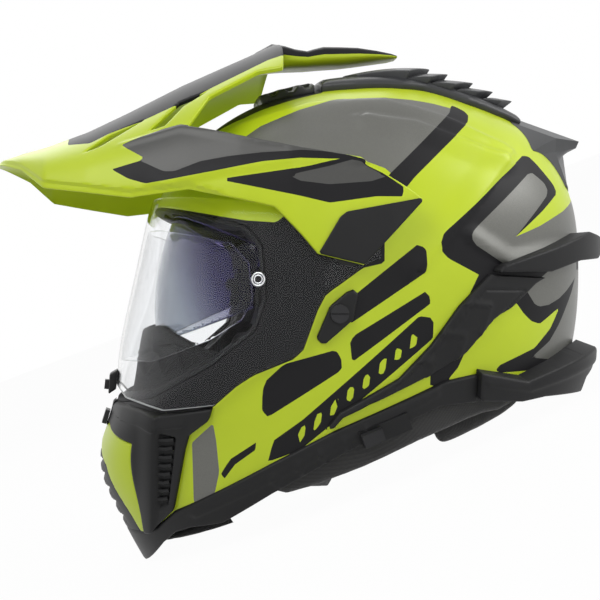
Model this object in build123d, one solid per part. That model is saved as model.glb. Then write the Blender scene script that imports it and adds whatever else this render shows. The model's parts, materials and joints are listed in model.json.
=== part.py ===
from build123d import *

import math
import os

# Dual sport helmet, millimetres. It is drawn as it sits on a level head: X to the wearer's left,
# Y to the back, Z up, with the zero point inside the crown on the centre plane. At the end every
# piece is turned and moved, so that the helmet stands on its lower edge, centred on the origin.

# Outer shell
SHELL_LENGTH = 300.0
SHELL_HEIGHT = 280.0
SHELL_WIDTH = 240.0
SHELL_WALL = 4.0
PIVOT_Y = 15.0
PIVOT_Z = 33.0

# Gaps and cuts
SEAT_GAP = 0.1
SOFT_GAP = 0.4
PIN_GAP = 0.05
SLIDE_GAP = 0.25
REACH = 500.0
MEASURE_STEP = 0.05

# Energy absorbing liner, drawn round a head
LINER_GAP = 0.3
HEAD_WIDTH = 156.0
HEAD_LENGTH = 208.0
HEAD_RISE = 95.0
HEAD_Y = 45.0
HEAD_Z = 15.0
FACE_WIDTH = 124.0
FACE_LENGTH = 170.0
FACE_Y = -10.0
FACE_TOP = 45.0
CHEEK_WIDTH = 178.0
CHEEK_FRONT = -50.0
CHEEK_BACK = 110.0
CHEEK_TOP = -15.0
CHEEK_CORNER = 40.0
LINER_SPLIT = -52.0
LINER_SPLIT_GAP = 0.6
LINER_LIFT = 9.0

# Comfort lining
CROWN_PAD = 7.0
CROWN_PAD_EDGE = 18.0
CHEEK_PAD_INNER = 52.0
NECK_ROLL_HALF = 71.5
NECK_ROLL_CENTRE = 74.0
NECK_ROLL_THICK = 20.0
NECK_ROLL_TALL = 26.0
NECK_ROLL_RISE = 18.0
CURTAIN_THICK = 1.6
CURTAIN_RISE = 11.0
THROAT_REACH = 72.0

# Lower mouldings
MOULDING_WALL = 2.4
TRIM_PROUD = 2.5
TRIM_DEPTH = 8.0
SKIRT_SHIFT = 16.0
SKIRT_PROUD = 2.5
FIN_SHIFT = 13.0
FIN_PROUD = 3.0
STRIP_PROUD = 3.2
PLUG_PROUD = 3.0
KNOB_RADIUS = 5.5
KNOB_PROUD = 2.2

# Eye port
GASKET_WIDTH = 2.6
GASKET_PROUD = 0.6
GASKET_DEPTH = 6.0
PORT_CORNER = 3.0
BREATH_GUARD_DEPTH = 11.5
BREATH_GUARD_WALL = 3.0

# Chin bar pieces
CHIN_PROUD = 4.0
CHIN_STRIP_PROUD = 3.0
CHIN_GRILLE_PROUD = 2.0
CHIN_SEAM = 0.4
RIB_COUNT = 7
RIB_SLOT = 3.2
CHIN_TAB_WIDTH = 22.0
CHIN_TAB_HEIGHT = 9.0
CHIN_TAB_PROUD = 3.0
CHIN_TAB_TRAVEL = 6.0

# Crown vents
FAIRING_PROUD = 6.0
LOUVRE_PROUD = 12.0
LOUVRE_LEAST = 500.0
TOP_SLIDER_LENGTH = 12.0
TOP_SLIDER_WIDTH = 20.0
TOP_SLIDER_TRAVEL = 8.0
TOP_SLIDER_PROUD = 4.0
GRILLE_HALF = 20.0
GRILLE_SLOT = 2.6
GRILLE_SLOTS = 6

# Visor and its bearings
VISOR_GAP = 2.0
VISOR_THICK = 2.0
VISOR_CORNER = 5.0
PIVOT_BASE_RADIUS = 12.0
PIVOT_BOSS_RADIUS = 9.0
PIVOT_CAP_RADIUS = 13.0
PIVOT_CAP_THICK = 1.2
PIVOT_CAP_GAP = 0.3
ANTIFOG_THICK = 0.8
ANTIFOG_GAP = 0.4
ANTIFOG_PIN_RADIUS = 4.5
ANTIFOG_PIN_LENGTH = 3.4
LATCH_HALF = 13.0
LATCH_PROUD = 4.0
LATCH_WALL = 2.0
LATCH_BUTTON_HALF = 6.0
LATCH_BUTTON_HEIGHT = 6.0
LATCH_BUTTON_TRAVEL = 1.5

# Sun shield
SHIELD_PIVOT_Y = 50.0
SHIELD_PIVOT_Z = -5.0
SHIELD_RADIUS = 147.0
SHIELD_SPREAD = 118.0
SHIELD_THICK = 1.8
SHIELD_HALF = 93.0
SHIELD_ARM_THICK = 2.4
SHIELD_HUB_RADIUS = 9.0
SHIELD_PIN_RADIUS = 3.5
SHIELD_POCKET = 2.0
LEVER_TRAVEL = 18.0
LEVER_LENGTH = 13.0
LEVER_HEIGHT = 8.0
LEVER_PROUD = 4.5
TRACK_WALL = 1.6

# Peak
PEAK_WALL = 3.0
PEAK_SPINE_HALF = 20.0
PEAK_SCREW_RADIUS = 4.0
PEAK_SCREW_HEAD = 6.5
PEAK_SCREW_HEAD_THICK = 1.4
PEAK_SCREW_SINK = 0.8
PEAK_PANEL_THICK = 1.6

# Chin strap
STRAP_WIDTH = 22.0
STRAP_THICK = 1.8
STRAP_Y = 0.0
STRAP_LOW = -117.0
STRAP_ANCHOR_RADIUS = 6.0
STRAP_ANCHOR_THICK = 2.0
BUCKLE_LENGTH = 42.0
BUCKLE_WALL = 1.6
BUCKLE_TALL = 10.5
TONGUE_LENGTH = 40.0
TONGUE_WIDTH = 13.0
TONGUE_THICK = 2.0
TONGUE_TOOTH = 2.5
TONGUE_TEETH = 8
BUCKLE_PIN_RADIUS = 1.5
BUCKLE_LEVER_LENGTH = 20.0

# Outlines in side view are shares of the shell's length and height, from the zero point.
profile_shares = [
    (0.62, 0.1179), (0.61, 0.2143), (0.58, 0.3), (0.5033, 0.4), (0.4033, 0.4571),
    (0.3167, 0.4893), (0.2233, 0.5089), (0.1133, 0.5089), (0, 0.4893), (-0.0833, 0.4643),
    (-0.1567, 0.425), (-0.2567, 0.3321), (-0.3133, 0.2321), (-0.34, 0.125), (-0.3667, 0),
    (-0.39, -0.125), (-0.4067, -0.25), (-0.4333, -0.3357), (-0.4333, -0.3929), (-0.4, -0.4821),
    (-0.36, -0.5643), (-0.25, -0.7143), (0, -0.7679), (0.2667, -0.6786), (0.4333, -0.4643),
    (0.55, -0.2679), (0.6, -0.1357), (0.6167, -0.0357),
]
port_shares = [
    (-0.5667, 0.2214), (-0.3233, 0.2143), (-0.15, 0.1571), (-0.12, 0.1143), (-0.1133, 0),
    (-0.1333, -0.0643), (-0.2133, -0.1357), (-0.3333, -0.2143), (-0.4067, -0.2357),
    (-0.5667, -0.2429),
]
shell_floor_shares = [
    (-0.5667, -0.5357), (-0.3467, -0.5357), (-0.2833, -0.4893), (-0.1933, -0.4536),
    (-0.0967, -0.3893), (0.0533, -0.3), (0.1567, -0.2429), (0.2667, -0.2071), (0.7333, -0.2071),
    (0.7333, -0.9286), (-0.5667, -0.9286),
]
trim_shares = [
    (-0.3733, -0.5321), (-0.3367, -0.5214), (-0.29, -0.4679), (-0.2467, -0.4429), (-0.1, -0.3536),
    (-0.0433, -0.3214), (0.0267, -0.2821), (0.2533, -0.1786), (0.3267, -0.1643), (0.3267, -0.225),
    (0.2433, -0.2321), (0.1567, -0.2714), (0.0533, -0.325), (-0.0967, -0.4179),
    (-0.1933, -0.4857), (-0.2567, -0.5), (-0.2867, -0.5143), (-0.31, -0.5429), (-0.3433, -0.6036),
    (-0.3567, -0.6036), (-0.36, -0.5643),
]
chin_front_shares = [
    (-0.5333, -0.2446), (-0.3967, -0.2411), (-0.3167, -0.2518), (-0.22, -0.2339),
    (-0.23, -0.2679), (-0.2533, -0.2857), (-0.2633, -0.3107), (-0.2867, -0.4643),
    (-0.3333, -0.5161), (-0.3767, -0.5286), (-0.5333, -0.5286),
]
rib_zone_shares = [(-0.3067, -0.2857), (-0.2633, -0.2929), (-0.2833, -0.4536), (-0.3133, -0.4607)]
rear_skirt_shares = [
    (0.33, -0.1607), (0.44, -0.1821), (0.5333, -0.15), (0.6367, -0.1107), (0.6867, -0.1321),
    (0.6133, -0.1821), (0.6033, -0.2161), (0.4867, -0.2196), (0.43, -0.2286), (0.33, -0.2236),
]
rear_fin_shares = [
    (0.3733, 0.075), (0.5, 0.1179), (0.6, 0.1571), (0.7, 0.1429), (0.6333, 0.0964),
    (0.57, 0.0893), (0.49, 0.0629), (0.3633, 0.0589),
]
side_strip_shares = [
    (0.3467, 0.0554), (0.4833, 0.05), (0.4567, 0.0357), (0.3967, -0.0179), (0.3567, -0.0429),
    (0.3, -0.1143), (0.2167, -0.1643), (0.04, -0.2536), (0.0233, -0.275), (0.0067, -0.2786),
    (0.0333, -0.2429), (0.1533, -0.1714), (0.22, -0.1), (0.28, -0.0143),
]
plug_shares = [
    (0.01, -0.0143), (0.0433, 0.0161), (0.0567, 0.0214), (0.0667, 0.0125), (0.0633, -0.0071),
    (0.0567, -0.0429), (0.0033, -0.0929), (-0.0067, -0.0929), (-0.0167, -0.0821),
]
breath_guard_shares = [
    (-0.4667, -0.2364), (-0.4067, -0.2321), (-0.3333, -0.2107), (-0.2133, -0.1321),
    (-0.1933, -0.1193), (-0.2333, -0.1107), (-0.3233, -0.0607), (-0.3733, -0.075),
    (-0.4667, -0.1036),
]
exhaust_shares = [(0.6533, 0.3786), (0.5867, 0.3393), (0.5667, 0.3536), (0.6167, 0.3821)]
spoiler_half_shares = [0, 0.2, 0.35, 0.52]
spoiler_section_shares = [
    [
        (0.4433, 0.4464), (0.6367, 0.3821), (0.6267, 0.3679), (0.59, 0.35), (0.6, 0.2357),
        (0.4667, 0.2214),
    ],
    [
        (0.4467, 0.4393), (0.6167, 0.3786), (0.61, 0.3625), (0.58, 0.3464), (0.5933, 0.2464),
        (0.4667, 0.2214),
    ],
    [
        (0.4467, 0.4143), (0.5467, 0.3786), (0.545, 0.3464), (0.5533, 0.3214), (0.5733, 0.2643),
        (0.45, 0.2214),
    ],
    [
        (0.4333, 0.3714), (0.4767, 0.3429), (0.4767, 0.3321), (0.48, 0.3143), (0.4867, 0.2857),
        (0.4167, 0.2214),
    ],
]
visor_shares = [
    (-0.5667, 0.2357), (-0.3367, 0.2357), (-0.15, 0.2107), (0, 0.1929), (0.05, 0.1786),
    (0.1, 0.1607), (0.1133, 0.0893), (0.0753, 0.0718), (0.0393, 0.0421), (0, 0.0143),
    (-0.0167, -0.0214), (-0.0423, -0.1032), (-0.06, -0.1214), (-0.1367, -0.1564),
    (-0.17, -0.1804), (-0.216, -0.2261), (-0.3153, -0.2404), (-0.3887, -0.2214),
    (-0.4133, -0.1893), (-0.5667, -0.1786),
]
antifog_shares = [
    (-0.5667, 0.1571), (-0.32, 0.1571), (-0.18, 0.1214), (-0.1467, 0.0786), (-0.14, 0),
    (-0.16, -0.0429), (-0.22, -0.0857), (-0.3333, -0.1357), (-0.5667, -0.15),
]
latch_shares = [(-0.5333, -0.1607), (-0.3733, -0.1786), (-0.3733, -0.2179), (-0.5333, -0.2214)]
shield_shares = [
    (-0.4667, 0.225), (-0.2733, 0.1964), (-0.1, 0.1071), (-0.0533, 0.0429), (-0.0533, 0.0179),
    (-0.1133, -0.0089), (-0.3067, -0.0929), (-0.4667, -0.1607),
]
peak_shares = [
    (-0.7667, 0.3143), (-0.66, 0.3143), (-0.6033, 0.2893), (-0.5533, 0.2429), (-0.38, 0.2179),
    (-0.265, 0.2357), (-0.1, 0.1964), (-0.05, 0.1393), (-0.0167, 0.0964), (0.0733, 0.0736),
    (0.1933, 0.2107), (0.24, 0.2571), (0.24, 0.7143), (-0.7667, 0.7143),
]
peak_open_shares = [
    (-0.2633, 0.375), (-0.2183, 0.4464), (-0.1167, 0.5071), (-0.0667, 0.5143), (-0.04, 0.6786),
    (0.3, 0.6786), (0.3, 0.2), (0.1933, 0.2143), (0.1567, 0.2429), (0.07, 0.3), (-0.0433, 0.3214),
    (-0.17, 0.35), (-0.23, 0.3679),
]
peak_window_shares = [
    [(-0.4733, 0.3204), (-0.42, 0.3629), (-0.3523, 0.3943), (-0.44, 0.3339)],
    [(-0.342, 0.3664), (-0.2777, 0.4364), (-0.2183, 0.4621), (-0.2713, 0.425), (-0.31, 0.3779)],
]
peak_tail_shares = [
    (-0.1333, 0.5643), (-0.0633, 0.61), (-0.0167, 0.5954), (0.0113, 0.5893), (0.045, 0.6014),
    (0.1233, 0.6011), (0.2153, 0.5857), (0.2153, 0.5714), (0.05, 0.5429), (0, 0.5357),
    (-0.0667, 0.5357), (-0.1333, 0.5214),
]
peak_panel_shares = [
    (-0.0133, 0.1), (0.0267, 0.175), (0.04, 0.1857), (0.1733, 0.2143), (0.18, 0.2107),
    (0.075, 0.0786),
]
cheek_pad_shares = [
    (-0.12, -0.0786), (0.0333, -0.0607), (0.1867, -0.0786), (0.22, -0.1786), (0.1867, -0.3071),
    (0.0667, -0.35), (-0.1133, -0.4036), (-0.1467, -0.2857),
]

# Sections of the shell are set by how far out they lie, as shares of its half width.
section_shares = [0.0, 0.25, 0.45, 0.62, 0.76, 0.86, 0.93, 0.972, 0.992, 0.999]
FLANK_POWER = 2.3
ARCH_POWER = 2.2
ARCH_STEPS = 12

# The peak's arch: share of length, then lower edge, ridge and half width.
arch_rows = [
    (-0.66, 0.3107, 0.3214, 0.1667), (-0.6033, 0.2821, 0.3393, 0.4333),
    (-0.5533, 0.2357, 0.3536, 0.65), (-0.4667, 0.2143, 0.3893, 0.775),
    (-0.38, 0.2, 0.4357, 0.8583), (-0.2667, 0.1786, 0.5, 0.9417), (-0.1667, 0.1536, 0.55, 1.0083),
    (-0.0667, 0.1179, 0.6, 1.0583), (0, 0.0821, 0.6036, 1.0792), (0.05, 0.0643, 0.6036, 1.0875),
    (0.1333, 0.0821, 0.6036, 1.0875), (0.25, 0.1179, 0.5929, 1.0583),
]

# Front view outlines are shares of the shell's half width and height, for the wearer's left.
chin_strip_shares = [
    (0, -0.2857), (0.1667, -0.2857), (0.5667, -0.3179), (0.45, -0.4786), (0.4083, -0.5214),
    (0.3542, -0.5286), (0.3417, -0.4857), (0.2833, -0.3786), (0.1167, -0.3429), (0, -0.325),
]
chin_vent_shares = [
    (0, -0.325), (0.1167, -0.3429), (0.2833, -0.3786), (0.3417, -0.4857), (0.3542, -0.5286),
    (0, -0.5286),
]

# Top view outlines are shares of the shell's half width and length, for the wearer's left.
brow_vent_shares = [(0, -0.1), (0.2, -0.1), (0.3333, -0.0333), (0.3667, 0.0133), (0, 0.0133)]
fairing_shares = [
    (0, 0.0267), (0.3833, 0.0267), (0.4333, 0.1), (0.4333, 0.2067), (0.4, 0.26), (0.425, 0.35),
    (0.3417, 0.4267), (0, 0.4267),
]
fairing_hollow_shares = [
    (0, 0.04), (0.35, 0.04), (0.4, 0.1), (0.4, 0.2067), (0.3667, 0.26), (0.3833, 0.3433),
    (0.3167, 0.4133), (0, 0.4133),
]
louvre_plan_shares = [
    [
        (0.1917, 0.0867), (0.3333, 0.1133), (0.4167, 0.22), (0.1917, 0.28),
    ],
    [
        (0, 0.29), (0.1167, 0.26), (0.4, 0.22), (0.4083, 0.2733), (0.25, 0.3167), (0, 0.3233),
    ],
    [
        (0.1167, 0.34), (0.15, 0.3333), (0.4, 0.28), (0.4167, 0.3267), (0.25, 0.3733),
        (0.1167, 0.38),
    ],
    [
        (0.1167, 0.3833), (0.1667, 0.3733), (0.4083, 0.3267), (0.3833, 0.3667), (0.2333, 0.4),
        (0.1167, 0.4067),
    ],
]

arm_shares = [(0.1667, 0.0143), (-0.15, 0.0786), (-0.15, -0.0107), (0.1667, -0.05)]
arm_slot_shares = [
    (0.2133, -0.0786), (-0.1867, -0.15), (-0.22, 0.2143), (-0.1, 0.3393), (0.05, 0.3571),
    (0.2133, 0.1071),
]
shield_pocket_shares = [
    (-0.5667, -0.1429), (-0.0333, -0.1429), (-0.0333, 0), (0.15, 0.4286), (0.1, 0.5179),
    (-0.5667, 0.5179),
]
knob_share = (0.0287, -0.0289)
antifog_pin_share = (-0.14, 0.0393)
lever_share = (0.1267, -0.2786)
CHIN_TAB_SHARE = -0.2643
TOP_SLIDER_SHARE = 0.3733
LATCH_BUTTON_SHARE = -0.2
CHIN_TIP_Y_SHARE = -0.3433
CHIN_TIP_Z_SHARE = -0.6036
REAR_FOOT_Y_SHARE = 0.6033
REAR_FOOT_Z_SHARE = -0.2161
CHIN_GRILLE_SLOT_SHARE = 0.17
cheek_pad_section_shares = [(0.0, 0.93), (0.12, 1.0), (0.55, 1.0), (0.85, 0.86), (1.0, 0.6)]
STRAP_ANCHOR_SHARE = 0.6
strap_route_shares = [(0, 0.7), (0, 0.3), (0.04, 0.17), (0.14, 0.06), (0.3, 0)]

HALF_WIDTH = SHELL_WIDTH / 2
PIVOT = Vector(0, PIVOT_Y, PIVOT_Z)
VISOR_OUTER = VISOR_GAP + VISOR_THICK
X_DIR = Vector(1, 0, 0)
Y_DIR = Vector(0, 1, 0)
Z_DIR = Vector(0, 0, 1)

forms = {}
arches = {}
parts = {}


def side_point(share_y, share_z):
    return Vector(0, share_y * SHELL_LENGTH, share_z * SHELL_HEIGHT)


def face_of(points, corner=0.0, grow=0.0):
    face = make_face(Polyline(*points, close=True))
    if grow:
        face = offset(face, amount=grow, kind=Kind.INTERSECTION)
    if corner:
        face = fillet(face.vertices(), corner)
    return face


def side_prism(shares, side=0, corner=0.0, grow=0.0):
    """Side view outline run through the helmet: both ways, or to the left (1) or right (-1)."""
    face = face_of([side_point(*share) for share in shares], corner, grow)
    if side:
        return extrude(face, REACH, dir=X_DIR * side)
    return extrude(face, REACH, dir=X_DIR, both=True)


def inner_prism(shares, wall):
    """The part of a side view prism that lies at least a wall inside it."""
    whole = side_prism(shares)
    moves = [Pos(0, wall, 0), Pos(0, -wall, 0), Pos(0, 0, wall), Pos(0, 0, -wall)]
    for move in moves:
        whole = whole & (move * side_prism(shares))
    return whole


def mirrored(shape):
    return mirror(shape, about=Plane.YZ)


def front_prism(shares, grow=0.0):
    """Front view outline of the left half, run forward on both sides."""
    points = [Vector(x * HALF_WIDTH if x else grow, 0, z * SHELL_HEIGHT) for x, z in shares]
    left = extrude(face_of(points, grow=grow), REACH, dir=-Y_DIR)
    return left + mirrored(left)


def plan_prism(shares):
    """Top view outline of the left half, run upward on both sides."""
    points = [Vector(x * HALF_WIDTH, y * SHELL_LENGTH, 0) for x, y in shares]
    left = extrude(face_of(points), REACH, dir=Z_DIR)
    return left + mirrored(left)


def bar(x_range, y_range, z_range):
    """A box from its two ends along each axis."""
    (x0, x1), (y0, y1), (z0, z1) = x_range, y_range, z_range
    box = Box(x1 - x0, y1 - y0, z1 - z0)
    return Pos((x0 + x1) / 2, (y0 + y1) / 2, (z0 + z1) / 2) * box


def form(off):
    """The closed outer form of the helmet, grown by off: sections across, scaled about the pivot."""
    if off in forms:
        return forms[off]
    ring = []
    for share in profile_shares:
        arm = side_point(*share) - PIVOT
        ring.append(arm * ((arm.length + off) / arm.length))
    wires = []
    steps = [-share for share in reversed(section_shares[1:])] + section_shares
    for share in steps:
        scale = math.sqrt(1 - abs(share) ** FLANK_POWER)
        middle = PIVOT + X_DIR * (share * (HALF_WIDTH + off))
        wires.append(Wire([Edge.make_spline([middle + arm * scale for arm in ring], periodic=True)]))
    forms[off] = Solid.make_loft(wires)
    return forms[off]


def patch(prism, inner, outer):
    """The layer between two offsets of the outer form, cut to an outline."""
    return (form(outer) & prism) - form(inner)


def arch(inset):
    """The closed arch under the peak's top face, drawn in by inset."""
    if inset in arches:
        return arches[inset]
    sections = []
    for share_y, share_low, share_ridge, share_half in arch_rows:
        low = share_low * SHELL_HEIGHT - abs(inset)
        rise = share_ridge * SHELL_HEIGHT - inset - low
        half = share_half * HALF_WIDTH - inset
        y = share_y * SHELL_LENGTH
        points = []
        for step in range(ARCH_STEPS + 1):
            turn = math.pi * step / ARCH_STEPS
            across = math.copysign(abs(math.cos(turn)) ** (2 / ARCH_POWER), math.cos(turn))
            up = math.sin(turn) ** (2 / ARCH_POWER) if 0 < step < ARCH_STEPS else 0.0
            points.append(Vector(half * across, y, low + rise * up))
        sections.append(Wire([Edge.make_spline(points), Edge.make_line(points[-1], points[0])]))
    arches[inset] = Solid.make_loft(sections, ruled=True)
    return arches[inset]


def hit(shape, start, direction):
    """Where a ray leaves a closed form, with the face's outward direction there."""
    found = shape.find_intersection_points(Axis(start, direction))
    far = max(found, key=lambda pair: (pair[0] - start).dot(direction))
    point, normal = far
    if normal.dot(direction) < 0:
        normal = normal * -1
    return point, normal


def seat(off, start, direction, along):
    """A plane lying on an offset of the outer form, its x direction as near along as it can be."""
    point, normal = hit(form(off), start, direction)
    along = (along - normal * along.dot(normal)).normalized()
    return Plane(origin=point, x_dir=along, z_dir=normal)


def block(plane, length, width, low, high, shift=0.0):
    """A box on a plane, from low to high above it."""
    return plane * Pos(shift, 0, (low + high) / 2) * Box(length, width, high - low)


def rod(radius, x_from, x_to, y, z):
    """A cylinder across the helmet."""
    length = x_to - x_from
    disc = Plane(origin=(x_from, y, z), x_dir=Y_DIR, z_dir=X_DIR) * Circle(radius)
    return extrude(disc, length, dir=X_DIR)


def spheroid(radius, spread):
    """A ball stretched across the helmet, for the sun shield's turning faces."""
    ball = scale(Sphere(1), by=(spread, radius, radius))
    return Pos(0, SHIELD_PIVOT_Y, SHIELD_PIVOT_Z) * ball


def ellipse_post(width, length, y, top):
    """An elliptical opening run down from top."""
    return extrude(Pos(0, y, top) * Ellipse(width / 2, length / 2), REACH, dir=-Z_DIR)


def keep(name, shape, twin=False):
    """Store one node; a twin node also holds the mirror image on the other side."""
    solids = list(shape.solids())
    if twin:
        solids += list(mirrored(shape).solids())
    parts[name] = solids


def keep_pair(name, shape):
    """Store the left piece and its mirror image as two nodes."""
    keep(name + "_left", shape)
    keep(name + "_right", mirrored(shape))


def shell_cut():
    return side_prism(shell_floor_shares)


def make_shell():
    port = side_prism(port_shares, corner=PORT_CORNER)
    hollow = form(0) - form(-SHELL_WALL)
    keep("outer_shell", hollow - port - shell_cut())


def head_space(gap=0.0):
    """The space for the head, neck and face inside the liner, drawn in by gap."""
    radii = (HEAD_WIDTH / 2 - gap, HEAD_LENGTH / 2 - gap, HEAD_RISE - gap)
    return Pos(0, HEAD_Y, HEAD_Z) * scale(Sphere(1), by=radii)


def cheek_space(gap=0.0):
    """The space for the cheeks, jaw and neck below the head, drawn in by gap."""
    length = CHEEK_BACK - CHEEK_FRONT
    outline = RectangleRounded(CHEEK_WIDTH - 2 * gap, length - 2 * gap, CHEEK_CORNER - gap)
    return extrude(Pos(0, CHEEK_FRONT + length / 2, CHEEK_TOP) * outline, REACH, dir=-Z_DIR)


def make_liner():
    outer = form(-SHELL_WALL - LINER_GAP)
    space = head_space() + ellipse_post(HEAD_WIDTH, HEAD_LENGTH, HEAD_Y, HEAD_Z)
    space = space + ellipse_post(FACE_WIDTH, FACE_LENGTH, FACE_Y, FACE_TOP) + cheek_space()
    pocket = spheroid(SHIELD_RADIUS + SHIELD_POCKET, SHIELD_SPREAD + SHIELD_POCKET)
    inner_gap = SHIELD_THICK + SHIELD_POCKET
    pocket = pocket - spheroid(SHIELD_RADIUS - inner_gap, SHIELD_SPREAD - inner_gap)
    pocket = pocket & side_prism(shield_pocket_shares)
    slot_half = SHIELD_HALF + SHIELD_POCKET
    pocket = pocket & bar((-slot_half, slot_half), (-REACH, REACH), (-REACH, REACH))
    arm_slot = side_prism(arm_slot_shares) & bar(
        (SHIELD_HALF - SHIELD_ARM_THICK - SHIELD_POCKET, slot_half), (-REACH, REACH), (-REACH, REACH)
    )
    liner = outer - space - side_prism(port_shares, grow=LINER_GAP) - pocket
    liner = liner - Pos(0, 0, LINER_LIFT) * shell_cut() - arm_slot - mirrored(arm_slot)
    behind = bar((-REACH, REACH), (LINER_SPLIT + LINER_SPLIT_GAP, REACH), (-REACH, REACH))
    below = bar((-REACH, REACH), (-REACH, LINER_SPLIT), (-REACH, FACE_Y - LINER_LIFT))
    above = bar((-REACH, REACH), (-REACH, LINER_SPLIT + LINER_SPLIT_GAP), (FACE_Y, REACH))
    main = (liner & behind) + (liner & above)
    keep("impact_liner", largest(main))
    keep("chin_impact_liner", largest(liner & below))


def largest(shape):
    """The largest solid of a cut, without crumbs that the cut leaves behind."""
    return max(shape.solids(), key=lambda solid: solid.volume)


def make_lining():
    """Crown pad, cheek pads, neck roll and chin curtain."""
    crown = head_space(SOFT_GAP) - head_space(SOFT_GAP + CROWN_PAD)
    crown = crown & bar((-REACH, REACH), (-REACH, REACH), (CROWN_PAD_EDGE, REACH))
    crown = crown - side_prism(port_shares, grow=CROWN_PAD)
    keep("crown_pad", largest(crown))

    outline = [side_point(*share) for share in cheek_pad_shares]
    middle = sum(outline, Vector()) * (1 / len(outline))
    outer_x = CHEEK_WIDTH / 2 - SOFT_GAP
    depth = outer_x - CHEEK_PAD_INNER
    sections = []
    for depth_share, size_share in cheek_pad_section_shares:
        centre = middle + X_DIR * (outer_x - depth * depth_share)
        points = [centre + (point - middle) * size_share for point in outline]
        sections.append(Wire([Edge.make_spline(points, periodic=True)]))
    pad = Solid.make_loft(sections)
    groove_width = STRAP_WIDTH + 4 * SOFT_GAP
    route = strap_route(1, 0)
    route[0] = route[0] + Z_DIR * (CHEEK_TOP - route[0].Z)
    groove = strap_band(route, STRAP_Y - groove_width / 2, groove_width, STRAP_THICK + 3 * SOFT_GAP)
    anchor = strap_anchor(STRAP_ANCHOR_RADIUS + 2 * SOFT_GAP, 2 * SOFT_GAP)
    pad = (pad & cheek_space(SOFT_GAP)) - groove - anchor
    keep_pair("cheek_pad", largest(pad))

    plane = base_plane(NECK_ROLL_CENTRE, NECK_ROLL_RISE)
    left = plane.from_local_coords(Vector(NECK_ROLL_HALF, 0, 0))
    back = plane.from_local_coords(Vector(0, NECK_ROLL_HALF, 0))
    right = plane.from_local_coords(Vector(-NECK_ROLL_HALF, 0, 0))
    path = ThreePointArc(left, back, right)
    start = Plane(origin=left, x_dir=X_DIR, z_dir=path % 0)
    roll = sweep(start * Ellipse(NECK_ROLL_THICK / 2, NECK_ROLL_TALL / 2), path=path)
    keep("neck_roll", roll)

    plane = base_plane(FACE_Y, CURTAIN_RISE)
    slab = block(plane, REACH, REACH, 0, CURTAIN_THICK)
    slab = slab & form(-TRIM_DEPTH - SOFT_GAP)
    throat = extrude(Pos(0, FACE_Y, 0) * Ellipse(FACE_WIDTH / 2, THROAT_REACH), REACH, both=True)
    ahead = bar((-REACH, REACH), (-REACH, CHEEK_FRONT - LINER_SPLIT_GAP), (-REACH, REACH))
    keep("chin_curtain", largest((slab - throat) & ahead))


def stand_angle():
    """How far the lower edge leans from level, from its front tip to its rear foot."""
    rise = (REAR_FOOT_Z_SHARE - CHIN_TIP_Z_SHARE) * SHELL_HEIGHT
    run = (REAR_FOOT_Y_SHARE - CHIN_TIP_Y_SHARE) * SHELL_LENGTH
    return math.atan2(rise, run)


def base_plane(y, rise):
    """A plane parallel to the one that the helmet stands on, rise above it, at a given y."""
    lean = stand_angle()
    tip = side_point(CHIN_TIP_Y_SHARE, CHIN_TIP_Z_SHARE)
    z = tip.Z + (y - tip.Y) * math.tan(lean) + rise / math.cos(lean)
    up = Vector(0, -math.sin(lean), math.cos(lean))
    return Plane(origin=(0, y, z), x_dir=X_DIR, z_dir=up)


def make_lower_mouldings():
    """Base trim with the chin skirt, rear skirt, rear fin, side strips and side plugs."""
    trim = patch(side_prism(trim_shares), -TRIM_DEPTH, TRIM_PROUD)
    shell_room = form(SEAT_GAP) - Pos(0, 0, -SEAT_GAP) * shell_cut()
    keep("base_trim", largest(trim - shell_room))

    back = Pos(0, SKIRT_SHIFT, 0) * form(SKIRT_PROUD)
    skirt = (back & side_prism(rear_skirt_shares)) - form(SEAT_GAP)
    hollow = Pos(0, SKIRT_SHIFT, 0) * form(SKIRT_PROUD - MOULDING_WALL)
    skirt = skirt - (hollow & inner_prism(rear_skirt_shares, MOULDING_WALL))
    keep("rear_skirt", largest(skirt))

    back = Pos(0, FIN_SHIFT, 0) * form(FIN_PROUD)
    fin = (back & side_prism(rear_fin_shares)) - form(SEAT_GAP)
    hollow = Pos(0, FIN_SHIFT, 0) * form(FIN_PROUD - MOULDING_WALL)
    fin = fin - (hollow & inner_prism(rear_fin_shares, MOULDING_WALL))
    keep("rear_fin", largest(fin))

    strip = patch(side_prism(side_strip_shares, side=1), SEAT_GAP, STRIP_PROUD)
    keep_pair("side_strip", largest(strip))

    plug = patch(side_prism(plug_shares, side=1), SEAT_GAP, PLUG_PROUD)
    place = side_point(*knob_share)
    knob_plane = seat(PLUG_PROUD, place, X_DIR, Y_DIR)
    disc = extrude(knob_plane * Circle(KNOB_RADIUS), KNOB_PROUD)
    bore = extrude(knob_plane * Circle(KNOB_RADIUS + SLIDE_GAP), PLUG_PROUD, both=True)
    plug = plug - bore
    knob = disc + extrude(knob_plane * Circle(KNOB_RADIUS), -PLUG_PROUD / 2)
    slot = block(knob_plane, 2 * KNOB_RADIUS, KNOB_PROUD / 2, KNOB_PROUD / 2, KNOB_PROUD)
    keep_pair("side_plug", largest(plug))
    keep("side_plug_screws", largest(knob - slot), twin=True)


def make_port_pieces():
    """Gasket round the eye port and the breath guard inside it."""
    port = side_prism(port_shares, corner=PORT_CORNER)
    ring = side_prism(port_shares, grow=-SEAT_GAP) - side_prism(port_shares, grow=-GASKET_WIDTH)
    ahead = bar((-REACH, REACH), (-REACH, 0), (-REACH, REACH))
    gasket = patch((ring & port) & ahead, -GASKET_DEPTH, GASKET_PROUD)
    keep("eye_port_gasket", largest(gasket))
    outer = -BREATH_GUARD_DEPTH
    guard = patch(side_prism(breath_guard_shares), outer - BREATH_GUARD_WALL, outer)
    keep("breath_guard", largest(guard))


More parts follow.
